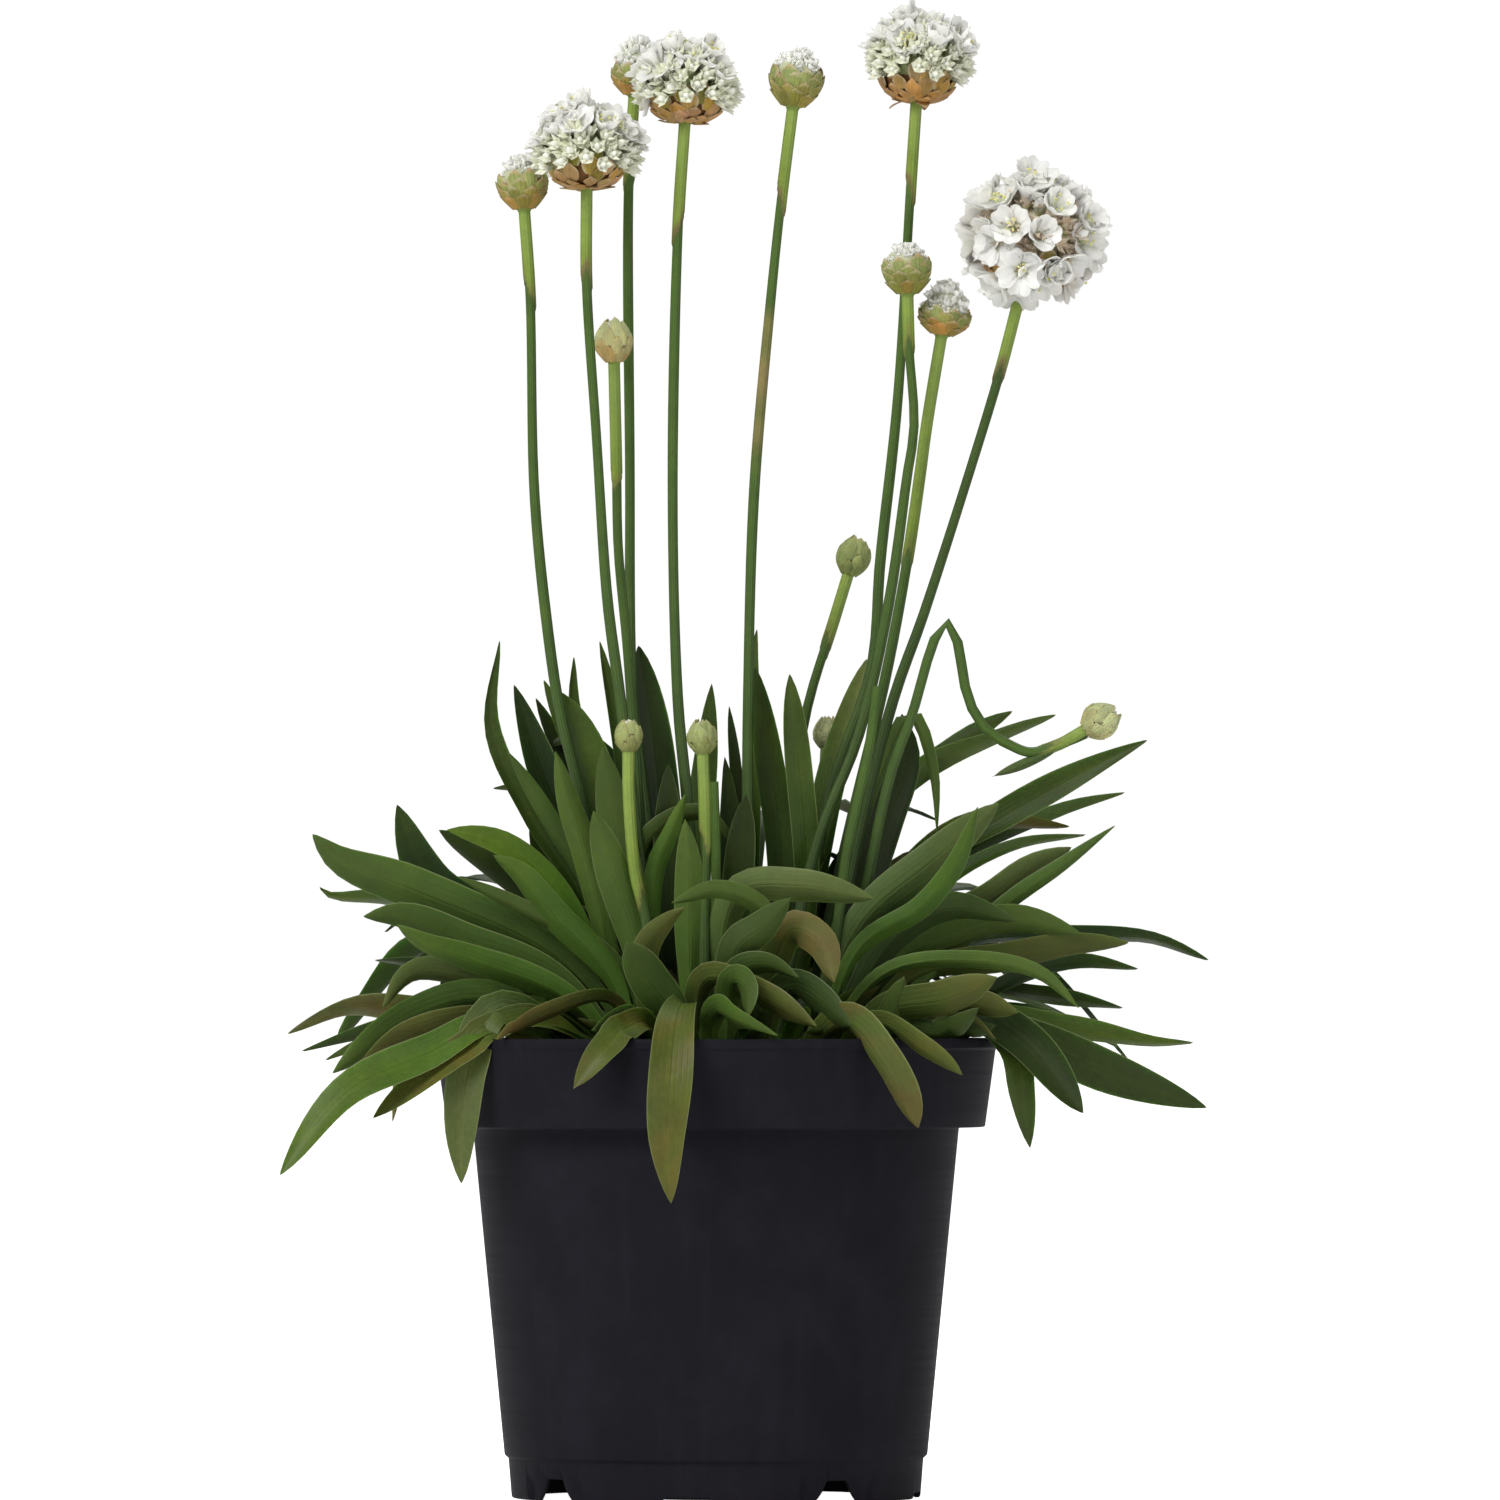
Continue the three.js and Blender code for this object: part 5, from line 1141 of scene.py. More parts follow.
def add_pot(shells):
    """The pot: its rounded profile carried round the axis.

    In the foot band, heights are lifted to the notch's edge by low + z (top - low) / top, where low falls
    from 5 mm at the middle of a deep notch to 0 at its flared foot. Round a deep notch the band stands
    back by 1 mm inside a rounded window, whose signed distance gives a soft edge.
    """
    profile = rounded_profile(pot_outline())
    turn = pot_turns()[None]
    radius = profile[:, :1] + 0 * turn
    z = profile[:, 1:] + 0 * turn
    deep = notch_distance(turn, DEEP_NOTCH_FACING)
    shallow = notch_distance(turn, SHALLOW_NOTCH_FACING)
    low = np.maximum(np.interp(deep, *DEEP_NOTCH), np.interp(shallow, *SHALLOW_NOTCH))
    is_band = (profile[:, :1] > BAND_RADIUS - 2.4) & (profile[:, 1:] < BAND_HEIGHT)
    is_band = is_band & (np.arange(len(profile))[:, None] < len(profile) // 2)
    outside = profile[:, :1] > BAND_RADIUS - 1.6
    top = np.where(outside, BAND_HEIGHT, FLOOR_UNDERSIDE)
    z = np.where(is_band & (z < top), low + z * (top - low) / top, z)
    qx, qz = deep - (RECESS_SIZE[0] - RECESS_CORNER), z - (RECESS_SIZE[1] - RECESS_CORNER)
    window = np.hypot(np.maximum(qx, 0), np.maximum(qz, 0)) + np.minimum(np.maximum(qx, qz), 0)
    back = RECESS * (1 - ease((window - RECESS_CORNER + 0.25) / 0.5))
    radius = radius - np.where(is_band & outside, back, 0)
    marks = np.stack([turn / (2 * math.pi) + 0 * z, z / POT_HEIGHT, 0 * z], axis=-1)[None]
    end = np.array([[0.0, 0.0, WALL]])
    shells.loft(polar(radius, turn, z)[None], np.zeros((1, 3)), end, np.zeros(3), marks)


def cut_drains(pot):
    """Cuts the round drain holes through the pot's floor with one Boolean."""
    cutters = Shells()
    z = np.array([[FLOOR_UNDERSIDE - 1.0], [FLOOR_UNDERSIDE + WALL + 1.0]])
    rings = polar(DRAIN_RADIUS, circle(24)[None], z)[None]
    low, high = polar(0.0, 0.0, z)
    for where in circle(DRAIN_COUNT):
        middle = polar(DRAIN_RING, where, 0.0)
        cutters.loft(middle + rings, middle + low, middle + high, np.zeros(3))
    cutter = add_object("drain_cutter", cutters.mesh("drain_cutter"))
    drill = pot.modifiers.new("drains", "BOOLEAN")
    drill.operation = "DIFFERENCE"
    drill.solver = "EXACT"
    drill.object = cutter
    bpy.context.view_layer.update()
    made = bpy.data.meshes.new_from_object(pot.evaluated_get(bpy.context.evaluated_depsgraph_get()))
    pot.modifiers.clear()
    pot.data = made
    bpy.data.objects.remove(cutter)


def soil_lumps(x, y):
    """A crumbly height: waves of seven lengths crossed at different angles."""
    height = 0 * x
    for k in range(7):
        angle, pitch = 1.3 * k, 11.0 / 1.5 ** k
        along = (x * math.cos(angle) + y * math.sin(angle)) / pitch
        across = (-x * math.sin(angle) + y * math.cos(angle)) / (pitch * 1.3)
        height = height + (0.75 / 1.35 ** k) * np.sin(along * 3 + k) * np.sin(across * 3 + 2 * k)
    return height


def add_soil(shells):
    """Peat: straight sides down the pot, a lumpy top, a dish under the crown, and 900 loose crumbs.

    The dish follows the crown's underside, (1 - away^4)^0.5 below its middle, with a small gap.
    """
    step = COLLAR_FOOT_HEIGHT + WALL + SOIL_GAP
    collar = COLLAR_FOOT_RADIUS - WALL - SOIL_GAP - 0.3
    floor_top = FLOOR_UNDERSIDE + WALL + SOIL_GAP
    side_r = [BAND_RADIUS - 2.3, BODY_TOP_RADIUS - WALL - SOIL_GAP - 0.8, collar]
    side_z = np.array([floor_top, step, step])[:, None]
    r = np.concatenate([side_r, np.linspace(collar + 0.3, 2.0, 64)])[:, None]
    turn = circle(200)[None]
    x, y = r * np.cos(turn), r * np.sin(turn)
    z = SOIL_HEIGHT + soil_lumps(x, y) * ease((collar + 0.3 - r) / 4)
    away = np.hypot((x - CROWN[0]) / CROWN_SIZE[0], (y - CROWN[1]) / CROWN_SIZE[1])
    dish = CROWN[2] - CROWN_SIZE[2] * np.clip(1 - away ** 4, 0, 1) ** 0.5 - 0.4
    z = np.where(away < 1.0, np.minimum(z, mix(z, dish, ease((1.0 - away) / 0.06))), z)
    z[:3] = side_z
    start, end = np.array([[0.0, 0.0, floor_top]]), np.array([[0.0, 0.0, z[-1].min()]])
    shells.loft(np.stack([x, y, z], axis=-1)[None], start, end, PEAT)

    k = np.arange(900)
    far, where = 34 + 25 * draw(k, 51), draw(k, 52) * 2 * math.pi
    x, y = far * np.cos(where), far * np.sin(where)
    size = mix(0.5, 1.7, draw(k, 53) ** 3)
    z = SOIL_HEIGHT + soil_lumps(x, y) * ease((collar - far) / 4) + size * 0.2
    axis = unit(shaken(k, 54))
    foot = np.stack([x, y, z], axis=1) - axis * size[:, None]
    tint = mix(PEAT * 0.7, PEAT_FIBRE, draw(k, 57)[:, None] ** 3)[:, None, None]
    size = size[:, None, None]
    add_grains(shells, (np.zeros(3), np.eye(3)), foot, axis, 2 * size, size, tint)


class Nodes:
    """Short ways to add shader nodes to one tree and join them."""

    def __init__(self, tree):
        self.tree = tree

    def feed(self, socket, value):
        if isinstance(value, bpy.types.NodeSocket):
            self.tree.links.new(value, socket)
        else:
            socket.default_value = value

    def add(self, kind, inputs=None, **settings):
        node = self.tree.nodes.new(kind)
        for key, value in settings.items():
            setattr(node, key, value)
        for key, value in (inputs or {}).items():
            self.feed(node.inputs[key], value)
        return node

    def maths(self, operation, a, b=0.0, c=0.0, clamp=False):
        node = self.add("ShaderNodeMath", {0: a, 1: b, 2: c}, operation=operation, use_clamp=clamp)
        return node.outputs[0]

    def plus(self, a, b):
        return self.maths("ADD", a, b)

    def times(self, a, b):
        return self.maths("MULTIPLY", a, b)

    def off_middle(self, a):
        return self.maths("ABSOLUTE", self.maths("SUBTRACT", a, 0.5))

    def ripple(self, a, pitch):
        return self.maths("COSINE", self.times(a, pitch))

    def blend(self, amount, a, b, how="MIX"):
        node = self.add("ShaderNodeMix", {0: amount, 6: a, 7: b}, data_type="RGBA", blend_type=how)
        return node.outputs[2]

    def step(self, value, low, high, to_low=0.0, to_high=1.0):
        node = self.add("ShaderNodeMapRange", {0: value, 1: low, 2: high, 3: to_low, 4: to_high},
                        interpolation_type="SMOOTHSTEP")
        return node.outputs[0]

    def noise(self, vector, scale, detail=2.0, roughness=0.55):
        node = self.add("ShaderNodeTexNoise", {"Vector": vector, "Scale": scale, "Detail": detail,
                                               "Roughness": roughness})
        return node.outputs[0]

    def mapped(self, vector, scale, turn=(0, 0, 0)):
        return self.add("ShaderNodeMapping", {0: vector, "Rotation": turn, "Scale": scale}).outputs[0]

    def attribute(self, name):
        return self.add("ShaderNodeAttribute", attribute_name=name)

    def marks(self):
        """What the point attribute marks holds: across, along and a third value."""
        parts = self.add("ShaderNodeSeparateXYZ", {0: self.attribute("marks").outputs["Vector"]})
        return parts.outputs[0], parts.outputs[1], parts.outputs[2]

    def place(self):
        return self.add("ShaderNodeTexCoord").outputs["Object"]


def shader_group(name, ins, outs):
    """An empty group with its sockets: each a name, a kind and, for inputs, a default."""
    tree = bpy.data.node_groups.new(name, "ShaderNodeTree")
    for key, kind, default in ins:
        socket = tree.interface.new_socket(name=key, in_out="INPUT", socket_type="NodeSocket" + kind)
        socket.default_value = default
    for key, kind in outs:
        tree.interface.new_socket(name=key, in_out="OUTPUT", socket_type="NodeSocket" + kind)
    n = Nodes(tree)
    return tree, n, n.add("NodeGroupInput").outputs


def mottle_group():
    """Cloudy change of a plant's colour: two noises lighten and yellow it, and the finer gives height."""
    name = "plant_mottle"
    if name in bpy.data.node_groups:
        return bpy.data.node_groups[name]
    tree, n, given = shader_group(
        name, [("Colour", "Color", (0.1, 0.2, 0.05, 1)), ("Place", "Vector", (0, 0, 0)),
               ("Scale", "Float", 90.0), ("Amount", "Float", 0.3)],
        [("Colour", "Color"), ("Height", "Float")])
    broad = n.noise(given["Place"], given["Scale"], 3.0)
    fine = n.noise(given["Place"], n.times(given["Scale"], 9.0), 2.0)
    change = n.times(n.maths("SUBTRACT", n.plus(broad, n.times(fine, 0.5)), 0.75), 2.0)
    gain = n.plus(1.0, n.times(change, given["Amount"]))
    bright = n.add("ShaderNodeVectorMath", {0: given["Colour"], "Scale": gain}, operation="SCALE").outputs[0]
    warm = n.add("ShaderNodeVectorMath", {0: bright, 1: (1.18, 1.03, 0.75)}, operation="MULTIPLY").outputs[0]
    share = n.maths("MULTIPLY", n.step(broad, 0.5, 0.75), given["Amount"], clamp=True)
    n.add("NodeGroupOutput", {"Colour": n.blend(share, bright, warm), "Height": fine})
    return tree


def veins_group():
    """Lines along a blade: a groove at the middle and even ribs at each side, as two masks."""
    name = "long_veins"
    if name in bpy.data.node_groups:
        return bpy.data.node_groups[name]
    tree, n, given = shader_group(
        name, [("Across", "Float", 0.5), ("Along", "Float", 0.5), ("Ribs", "Float", 7.0)],
        [("Midrib", "Float"), ("Ribs", "Float")])
    midrib = n.times(n.step(n.off_middle(given["Across"]), 0.032, 0.006), n.step(given["Along"], 0.98, 0.55))
    ribs = n.step(n.ripple(n.times(given["Across"], given["Ribs"]), 2 * math.pi), 0.2, 1.0)
    n.add("NodeGroupOutput", {"Midrib": midrib, "Ribs": n.times(ribs, n.step(given["Along"], 1.0, 0.6))})
    return tree


def new_material(name, sockets):
    """A material with a Principled shader whose plain values are set on its own sockets."""
    material = bpy.data.materials.new(name)
    material.use_nodes = True
    material.node_tree.nodes.clear()
    n = Nodes(material.node_tree)
    shader = n.add("ShaderNodeBsdfPrincipled", sockets)
    n.add("ShaderNodeOutputMaterial", {"Surface": shader.outputs[0]})
    return material, n, shader.inputs


def tinted_material(name, sockets, scale, amount, wash=None):
    """A material that starts from the tint at each point, times a wash if one is given, and mottled.

    It gives the material, its nodes and sockets, the place on the piece, and the mottle's colour and height.
    """
    material, n, shader = new_material(name, sockets)
    place, tint = n.place(), n.attribute("tint").outputs["Color"]
    if wash:
        tint = n.blend(1.0, tint, wash, "MULTIPLY")
    given = {"Colour": tint, "Place": place, "Scale": scale, "Amount": amount}
    mottle = n.add("ShaderNodeGroup", given, node_tree=mottle_group())
    return material, n, shader, place, mottle.outputs["Colour"], mottle.outputs["Height"]


def finish(n, shader, colour, rough, height, strength, distance):
    """Feeds the shader its colour and roughness and, through a Bump node, a height."""
    n.feed(shader["Base Color"], colour)
    n.feed(shader["Roughness"], rough)
    bump = n.add("ShaderNodeBump", {"Height": height, "Strength": strength, "Distance": distance})
    n.feed(shader["Normal"], bump.outputs[0])


def leaf_material(settings):
    """Satin leaf: tint, paler foot and underside, midrib and ribs, old spots, thin pale margin."""
    material, n, shader, place, colour, fine = tinted_material(
        "thrift_leaf", {"Roughness": 0.45, "Specular IOR Level": 0.2, "Subsurface Weight": 0.12,
                        "Subsurface Radius": (0.3, 1.0, 0.15), "Subsurface Scale": 0.0012}, 85.0, 0.42)
    across, along, seed = n.marks()
    under = n.attribute("under").outputs["Fac"]
    veins = n.add("ShaderNodeGroup", {"Across": across, "Along": along, "Ribs": 8.0}, node_tree=veins_group())
    midrib, ribs = veins.outputs["Midrib"], veins.outputs["Ribs"]
    edge = n.off_middle(across)
    pale = n.blend(1.0, colour, (1.35, 1.28, 1.2, 1), "MULTIPLY")
    dark = n.blend(1.0, colour, (0.6, 0.66, 0.6, 1), "MULTIPLY")
    rim = n.times(n.step(edge, 0.465, 0.5), n.plus(0.3, n.times(seed, 0.6)))
    spots = n.times(n.step(n.noise(place, 160.0, 4.0, 0.7), 0.66, 0.74), n.step(seed, 0.6, 0.95))
    for amount, over in (
            (n.times(n.step(edge, 0.16, 0.03), 0.35), pale),
            (n.times(ribs, settings.vein_contrast * 0.4), pale),
            (n.times(midrib, settings.vein_contrast), dark),
            (n.times(n.step(along, 0.22, 0.0), 0.35), (0.12, 0.17, 0.035, 1)),
            (rim, (0.17, 0.20, 0.08, 1)),
            (n.times(spots, 0.45), (0.15, 0.095, 0.03, 1))):
        colour = n.blend(amount, colour, over)
    below = n.blend(0.5, colour, (0.065, 0.105, 0.026, 1))
    colour = n.blend(n.times(under, 0.6), colour, below)
    rough = n.plus(n.times(fine, 0.22), n.plus(0.34, n.times(under, 0.2)))
    height = n.maths("SUBTRACT", n.plus(n.times(ribs, -0.3), n.times(fine, 0.4)), midrib)
    finish(n, shader, colour, rough, height, 0.4, 0.0003)
    return material


def stalk_material():
    """Green stalk: tint along its length, fine pale ribs, faint waxy bloom."""
    material, n, shader, _, colour, fine = tinted_material(
        "thrift_stalk", {"Roughness": 0.45, "Specular IOR Level": 0.22}, 130.0, 0.3)
    ribs = n.ripple(n.marks()[0], 2 * math.pi * 11)
    colour = n.blend(n.times(n.step(ribs, 0.3, 1.0), 0.10), colour, (0.20, 0.28, 0.10, 1))
    finish(n, shader, colour, n.plus(0.34, n.times(fine, 0.24)), n.plus(ribs, fine), 0.35, 0.00012)
    return material


def bract_material():
    """Bract: tint, thin lines along it, a papery margin where marks ask for one, and a dry roughness."""
    material, n, shader, place, colour, fine = tinted_material(
        "thrift_bract", {"Roughness": 0.62, "Specular IOR Level": 0.22, "Subsurface Weight": 0.15,
                         "Subsurface Radius": (1.0, 0.8, 0.3), "Subsurface Scale": 0.0006}, 420.0, 0.36)
    across, along, papery = n.marks()
    lines = n.step(n.ripple(across, 16.0), 0.4, 1.0)
    dark = n.blend(1.0, colour, (0.74, 0.70, 0.60, 1), "MULTIPLY")
    colour = n.blend(n.times(lines, 0.25), colour, dark)
    edge = n.maths("MAXIMUM", n.maths("ABSOLUTE", across), n.maths("POWER", along, 1.6))
    margin = n.times(n.step(n.plus(edge, n.times(fine, 0.3)), 0.72, 1.0), papery)
    paper = n.blend(n.step(n.noise(place, 260.0), 0.42, 0.6), (0.58, 0.50, 0.33, 1), (0.48, 0.29, 0.17, 1))
    colour = n.blend(margin, colour, paper)
    finish(n, shader, colour, n.plus(0.5, n.times(fine, 0.3)), n.plus(lines, fine), 0.5, 0.00015)
    return material


def petal_material(settings):
    """White petal: tint with faint long veins, soft light through it."""
    material, n, shader, _, colour, fine = tinted_material(
        "thrift_petal", {"Roughness": 0.5, "Specular IOR Level": 0.3, "Subsurface Weight": 0.6,
                         "Subsurface Radius": (1.0, 0.97, 0.85), "Subsurface Scale": 0.002},
        500.0, 0.08, tuple(settings.petal_white) + (1.0,))
    veins = n.step(n.ripple(n.marks()[0], 9.0), 0.6, 1.0)
    colour = n.blend(n.times(veins, 0.12), colour, (0.66, 0.67, 0.55, 1))
    finish(n, shader, colour, n.plus(0.42, n.times(fine, 0.2)), n.plus(veins, fine), 0.3, 0.0001)
    return material


def pot_material(settings):
    """Black moulded plastic: fine rings from the mould, faint upright streaks, dust, satin sheen."""
    material, n, shader = new_material("pot_plastic", {"Roughness": 0.42, "Specular IOR Level": 0.025})
    place = n.place()
    ring = n.noise(n.mapped(place, (6.0, 6.0, 900.0)), 1.0, 3.0)
    streak = n.noise(n.mapped(place, (220.0, 220.0, 3.0)), 1.0, 3.0)
    grain = n.noise(place, 2600.0, 2.0)
    dust = n.noise(place, 46.0, 5.0, 0.65)
    base = tuple(settings.plastic) + (1.0,)
    grey = n.blend(1.0, base, (1.7, 1.7, 1.75, 1), "MULTIPLY")
    colour = n.blend(n.times(n.step(dust, 0.4, 0.75), 0.5), base, grey)
    colour = n.blend(n.times(n.step(streak, 0.5, 0.8), 0.3), colour, grey)
    rough = n.plus(n.plus(n.times(ring, 0.16), n.times(dust, 0.12)), 0.34)
    height = n.plus(n.times(ring, 0.3), n.plus(n.times(grain, 0.35), streak))
    finish(n, shader, colour, rough, height, 0.12, 0.00012)
    return material


def peat_material():
    """Damp peat: tint with coarse and fine crumbs and pale fibres."""
    material, n, shader, place, colour, _ = tinted_material(
        "peat_crumb", {"Roughness": 0.92, "Specular IOR Level": 0.25}, 160.0, 0.9)
    fibres = n.noise(n.mapped(place, (90.0, 700.0, 700.0), (0.4, 0.2, 0.7)), 1.0, 3.0)
    colour = n.blend(n.times(n.step(fibres, 0.62, 0.72), 0.7), colour, (0.13, 0.08, 0.04, 1))
    crumbs = n.add("ShaderNodeTexVoronoi", {"Vector": place, "Scale": 520.0}).outputs["Distance"]
    height = n.plus(crumbs, n.noise(place, 1500.0, 3.0))
    finish(n, shader, colour, n.step(crumbs, 0.0, 0.8, 0.75, 0.98), height, 0.9, 0.0006)
    return material


def floor_material(settings):
    """Pale seamless floor with the faintest cloud in it. The camera sees it white by a glow of its own."""
    material, n, shader = new_material("pale_floor", {"Roughness": 0.9, "Specular IOR Level": 0.1,
                                                       "Emission Color": (1, 1, 1, 1)})
    cloud = n.noise(n.place(), 1.5, 2.0)
    base = tuple(settings.floor) + (1.0,)
    dim = n.blend(1.0, base, (0.98, 0.98, 0.98, 1), "MULTIPLY")
    n.feed(shader["Base Color"], n.blend(cloud, base, dim))
    n.feed(shader["Roughness"], n.step(cloud, 0.0, 1.0, 0.85, 0.95))
    seen = n.add("ShaderNodeLightPath").outputs["Is Camera Ray"]
    n.feed(shader["Emission Strength"], n.maths("MULTIPLY_ADD", seen, 0.9, 0.1))
    return material


class ThriftPotSettings(bpy.types.PropertyGroup):
    plastic: bpy.props.FloatVectorProperty(
        name="Plastic", description="Colour of the pot's plastic",
        default=(0.0116, 0.0110, 0.0144), min=0, max=1, size=3, subtype="COLOR")


class ThriftLeafSettings(bpy.types.PropertyGroup):
    thickness: bpy.props.FloatProperty(
        name="Thickness", description="Thickness of a blade beside its midrib",
        default=0.00062, min=0.0002, max=0.002, unit="LENGTH", precision=5)
    channel: bpy.props.FloatProperty(
        name="Channel", description="How far a blade's edges stand up, as a share of its half width",
        default=0.22, min=0.0, max=0.6)
    vein_contrast: bpy.props.FloatProperty(
        name="Vein contrast", description="How far the veins differ from the blade",
        default=0.45, min=0.0, max=1.0)


class ThriftStalkSettings(bpy.types.PropertyGroup):
    radius: bpy.props.FloatProperty(
        name="Radius", description="Radius of a flower stalk",
        default=0.0011, min=0.0004, max=0.002, unit="LENGTH", precision=5)
    sheath_radius: bpy.props.FloatProperty(
        name="Sheath radius", description="Radius of the sheath below a head",
        default=0.00144, min=0.0005, max=0.003, unit="LENGTH", precision=5)


class ThriftHeadSettings(bpy.types.PropertyGroup):
    petal_length: bpy.props.FloatProperty(
        name="Petal length", description="Length of a petal with its claw",
        default=0.0061, min=0.002, max=0.01, unit="LENGTH", precision=5)
    petal_width: bpy.props.FloatProperty(
        name="Petal width", description="Widest part of a petal",
        default=0.0052, min=0.001, max=0.01, unit="LENGTH", precision=5)
    petal_white: bpy.props.FloatVectorProperty(
        name="Petal white", description="What the petals' own tints are multiplied by",
        default=(1.0, 1.0, 1.0), min=0, max=1, size=3, subtype="COLOR")


class ThriftStageSettings(bpy.types.PropertyGroup):
    floor: bpy.props.FloatVectorProperty(
        name="Floor", description="Colour of the floor",
        default=(0.92, 0.92, 0.92), min=0, max=1, size=3, subtype="COLOR")
    distance: bpy.props.FloatProperty(
        name="Camera distance", description="From the camera to the plant's axis",
        default=3.4, min=1.0, max=10.0, unit="LENGTH")
    height: bpy.props.FloatProperty(
        name="Camera height", description="Of the camera above the floor",
        default=0.12, min=0.0, max=2.0, unit="LENGTH")
    view_width: bpy.props.FloatProperty(
        name="View width", description="Width of the square picture at the plant's axis",
        default=0.3464, min=0.1, max=2.0, unit="LENGTH", precision=4)
    surround: bpy.props.FloatProperty(
        name="Surround", description="Strength of the white light from all round",
        default=0.25, min=0.0, max=2.0)
    key_power: bpy.props.FloatProperty(
        name="Key light", description="Power of the main soft light in watts",
        default=40.0, min=0.0, max=500.0)


class ThriftMakePot(bpy.types.Operator):
    """Make the nursery pot with its notched foot band and drain holes"""
    bl_idname = "thrift.make_pot"
    bl_label = "Pot"

    def execute(self, context):
        shells = Shells()
        add_pot(shells)
        pot = shells.piece("nursery_pot", pot_material(context.scene.thrift_pot), "pot_plastic", ("pot",))
        cut_drains(pot)
        return {"FINISHED"}


class ThriftMakePeat(bpy.types.Operator):
    """Make the peat that fills the pot, with loose crumbs on top"""
    bl_idname = "thrift.make_peat"
    bl_label = "Peat"

    def execute(self, context):
        shells = Shells()
        add_soil(shells)
        shells.piece("peat_filling", peat_material(), "peat", ("soil",))
        return {"FINISHED"}


class ThriftMakeLeaves(bpy.types.Operator):
    """Make the rosette: leaves of the front, leaves of the back and the crown they grow from"""
    bl_idname = "thrift.make_leaves"
    bl_label = "Leaves"

    def execute(self, context):
        settings = context.scene.thrift_leaf
        material = leaf_material(settings)
        thickness = settings.thickness / MM
        front, back = Shells(), Shells()
        add_blades(front, front_blades(), settings.channel, thickness)
        add_blades(back, back_blades(), settings.channel, thickness)
        add_blades(back, heart_blades(), settings.channel, thickness, HEART_STATIONS)
        add_crown(back)
        front.piece("leaves_front", material, "leaf", ("leaves",))
        back.piece("leaves_back", material, "leaf")
        return {"FINISHED"}


class ThriftMakeStalks(bpy.types.Operator):
    """Make the flower stalks with their papery sheaths"""
    bl_idname = "thrift.make_stalks"
    bl_label = "Stalks"

    def execute(self, context):
        settings = context.scene.thrift_stalk
        material = stalk_material()
        for name in STALKS:
            shells = Shells()
            add_stalk(shells, name, settings.radius / MM, settings.sheath_radius / MM)
            if name == "l":
                add_blades(shells, [SHEATH_TAIL], 0.3, 0.4, 14)
            shells.piece(f"stalk_{name}", material, "stalk", (f"scape_{name}",))
        return {"FINISHED"}


class ThriftMakeHeads(bpy.types.Operator):
    """Make the open heads, the half-open buds and the closed buds"""
    bl_idname = "thrift.make_heads"
    bl_label = "Heads and buds"

    def execute(self, context):
        settings = context.scene.thrift_head
        bract, petal = bract_material(), petal_material(settings)
        length, width = settings.petal_length / MM, settings.petal_width / MM
        for number, name in enumerate(FLOWERS):
            cup, florets = Shells(), Shells()
            add_involucre(cup, seat_of(name), name, number)
            add_open_head(florets, name, number, length, width)
            cup.piece(f"involucre_{name}", bract, "bract", (f"flower_{name}_bracts",))
            florets.piece(f"florets_{name}", petal, "petal", (f"flower_{name}_florets",))
        for number, (name, (radius, height, top, brown)) in enumerate(HALF_OPEN.items()):
            scales, tuft = Shells(), Shells()
            add_bud(scales, seat_of(name), radius, height, brown, number + 60, top)
            add_tuft(tuft, name, number + 70, length, width)
            scales.piece(f"scales_{name}", bract, "bract", (f"bud_{name}_bracts",))
            tuft.piece(f"tuft_{name}", petal, "petal", (f"bud_{name}_petals",))
        for number, (name, (radius, height, brown, pale)) in enumerate(CLOSED.items()):
            bud = Shells()
            add_bud(bud, seat_of(name), radius, height, brown, number + 80, 0.94, pale)
            add_closed_tip(bud, name, number)
            bud.piece(f"closed_bud_{name}", bract, "green_bud", (f"bud_{name}",))
        return {"FINISHED"}


# What the lights and the camera look at, and the floor's radius, in metres.
LIGHT_AIM = Vector((0.0, 0.0, 0.16))
CAMERA_AIM = Vector((0.00785, 0.0, 0.1725))
FLOOR_RADIUS = 30.0


def area_light(name, place, size, power):
    """A square soft light at a place, turned to the plant."""
    light = bpy.data.lights.new(name, "AREA")
    light.shape = "SQUARE"
    light.size = size
    light.energy = power
    lamp = add_object(name, light)
    lamp.location = place
    lamp.rotation_euler = (LIGHT_AIM - lamp.location).to_track_quat("-Z", "Y").to_euler()


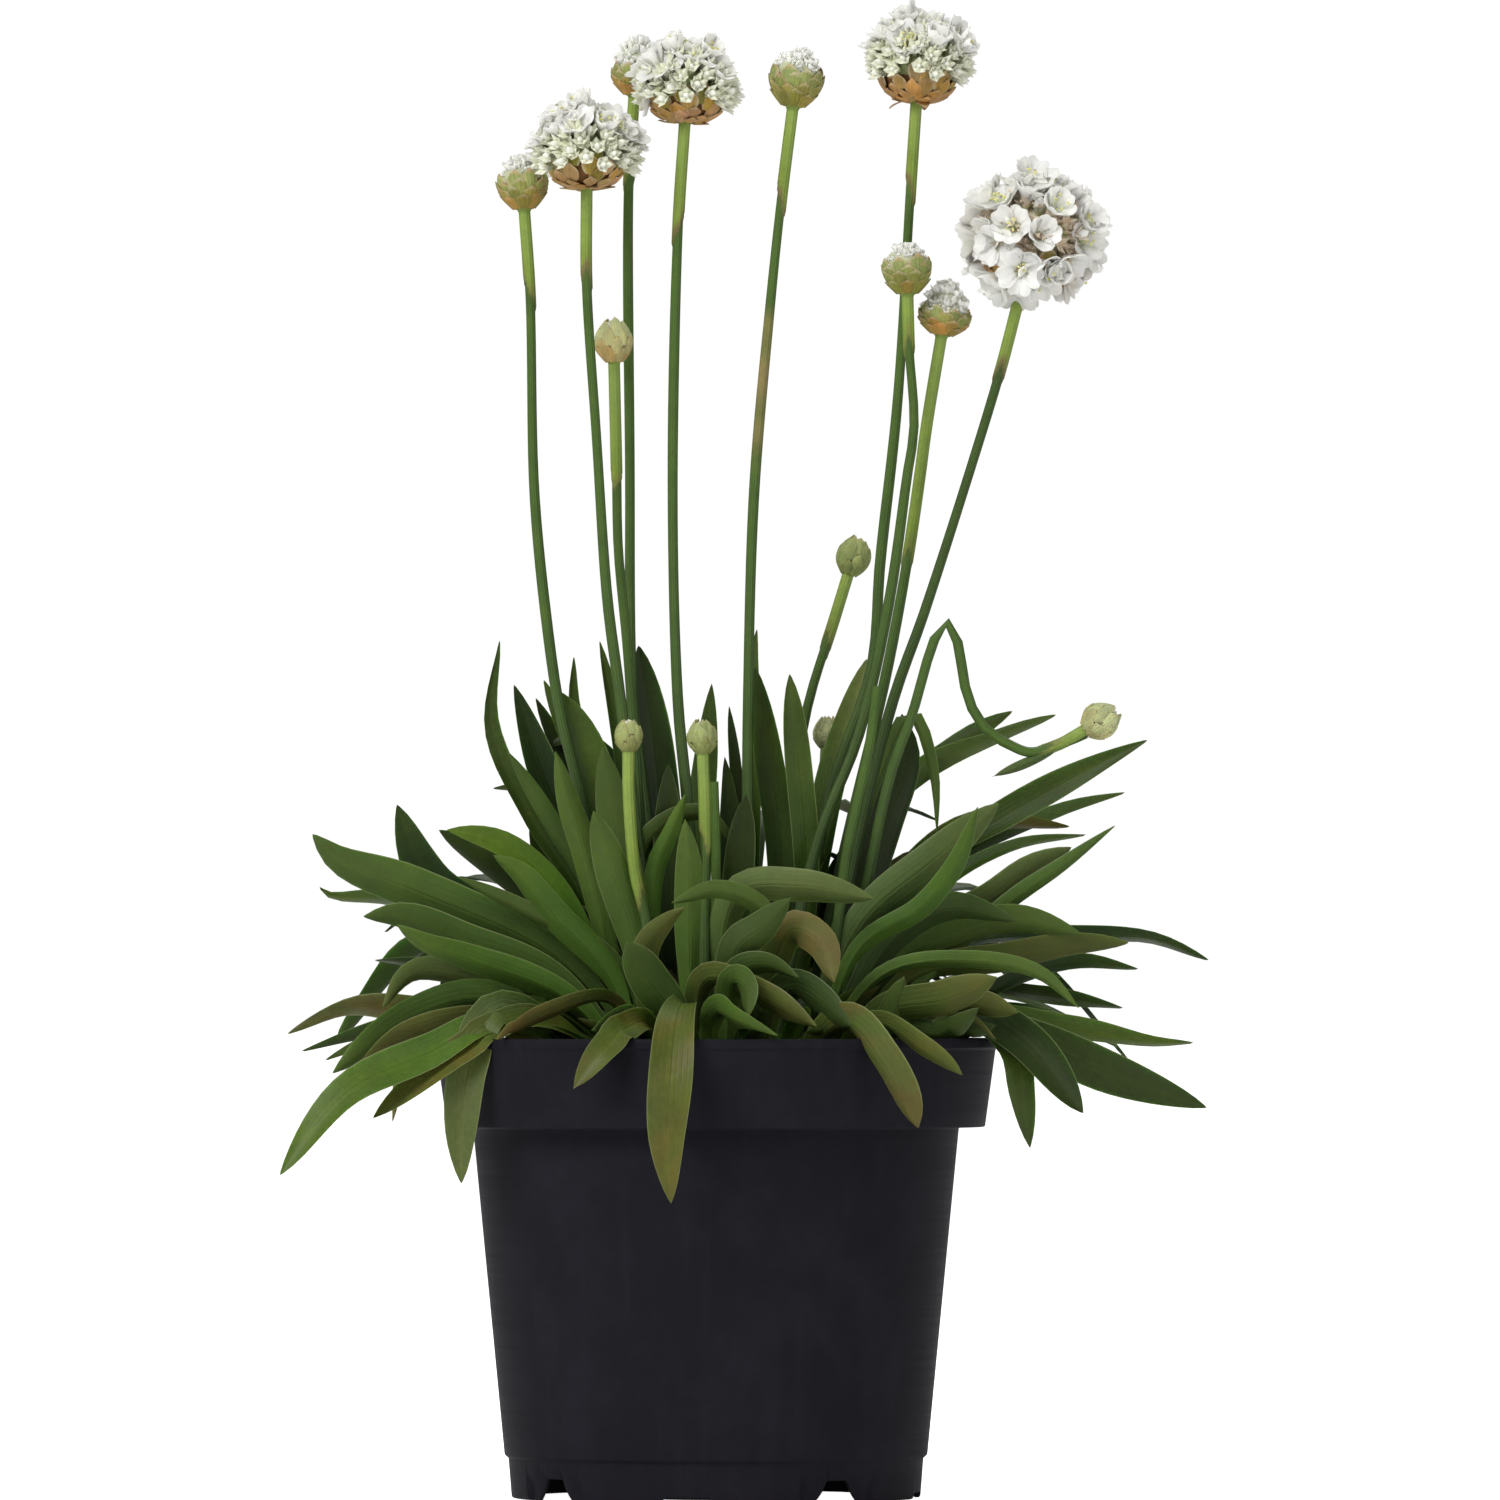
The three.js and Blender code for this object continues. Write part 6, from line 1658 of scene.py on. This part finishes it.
class ThriftMakeStage(bpy.types.Operator):
    """Make the pale floor, the soft lights, the white surround and the camera"""
    bl_idname = "thrift.make_stage"
    bl_label = "Stage"

    def execute(self, context):
        settings = context.scene.thrift_stage
        scene = context.scene
        mesh = bpy.data.meshes.new("floor")
        rim = polar(FLOOR_RADIUS, circle(64), 0.0)
        mesh.from_pydata(rim.tolist(), [], [list(range(len(rim)))])
        floor = add_object("floor", mesh)
        floor.data.materials.append(floor_material(settings))

        scene.world = bpy.data.worlds.new("white_surround")
        scene.world.use_nodes = True
        n = Nodes(scene.world.node_tree)
        background = scene.world.node_tree.nodes["Background"].inputs
        background["Color"].default_value = (1.0, 1.0, 1.0, 1.0)
        seen = n.add("ShaderNodeLightPath").outputs["Is Camera Ray"]
        strength = n.plus(settings.surround, n.times(seen, 1.02 - settings.surround))
        n.feed(background["Strength"], strength)
        scene.view_settings.view_transform = "Standard"
        area_light("key", (-1.1, -1.3, 1.5), 1.2, settings.key_power)
        area_light("fill", (1.4, -1.6, 0.7), 1.4, settings.key_power * 0.26)
        area_light("back", (0.3, 1.2, 1.9), 1.4, settings.key_power * 0.4)

        camera = bpy.data.cameras.new("camera")
        camera.sensor_width = 36.0
        camera.lens = camera.sensor_width * settings.distance / settings.view_width
        camera.clip_end = 100.0
        eye = add_object("camera", camera)
        eye.location = (CAMERA_AIM.x, -settings.distance, settings.height)
        eye.rotation_euler = (CAMERA_AIM - eye.location).to_track_quat("-Z", "Y").to_euler()
        scene.camera = eye
        return {"FINISHED"}


class ThriftPanel(bpy.types.Panel):
    """The plant's sizes and colours, and a button for each group of pieces"""
    bl_idname = "VIEW3D_PT_thrift"
    bl_label = "Potted Sea Thrift"
    bl_space_type = "VIEW_3D"
    bl_region_type = "UI"
    bl_category = "Thrift"

    def draw(self, context):
        for title, group, operator in STEPS:
            box = self.layout.box()
            box.label(text=title)
            settings = getattr(context.scene, group, None)
            for key in getattr(type(settings), "__annotations__", {}):
                box.prop(settings, key)
            box.operator(operator.bl_idname)


SETTINGS = {
    "thrift_pot": ThriftPotSettings,
    "thrift_leaf": ThriftLeafSettings,
    "thrift_stalk": ThriftStalkSettings,
    "thrift_head": ThriftHeadSettings,
    "thrift_stage": ThriftStageSettings,
}
STEPS = (
    ("Pot", "thrift_pot", ThriftMakePot),
    ("Peat", "", ThriftMakePeat),
    ("Leaves", "thrift_leaf", ThriftMakeLeaves),
    ("Stalks", "thrift_stalk", ThriftMakeStalks),
    ("Heads and buds", "thrift_head", ThriftMakeHeads),
    ("Stage", "thrift_stage", ThriftMakeStage),
)


def register():
    for name, group in SETTINGS.items():
        bpy.utils.register_class(group)
        setattr(bpy.types.Scene, name, bpy.props.PointerProperty(type=group))
    for _, _, operator in STEPS:
        bpy.utils.register_class(operator)
    bpy.utils.register_class(ThriftPanel)


def unregister():
    bpy.utils.unregister_class(ThriftPanel)
    for _, _, operator in reversed(STEPS):
        bpy.utils.unregister_class(operator)
    for name, group in reversed(SETTINGS.items()):
        delattr(bpy.types.Scene, name)
        bpy.utils.unregister_class(group)


def main():
    register()
    bpy.ops.thrift.make_pot()
    bpy.ops.thrift.make_peat()
    bpy.ops.thrift.make_leaves()
    bpy.ops.thrift.make_stalks()
    bpy.ops.thrift.make_heads()
    bpy.ops.thrift.make_stage()


if __name__ == "__main__":
    main()
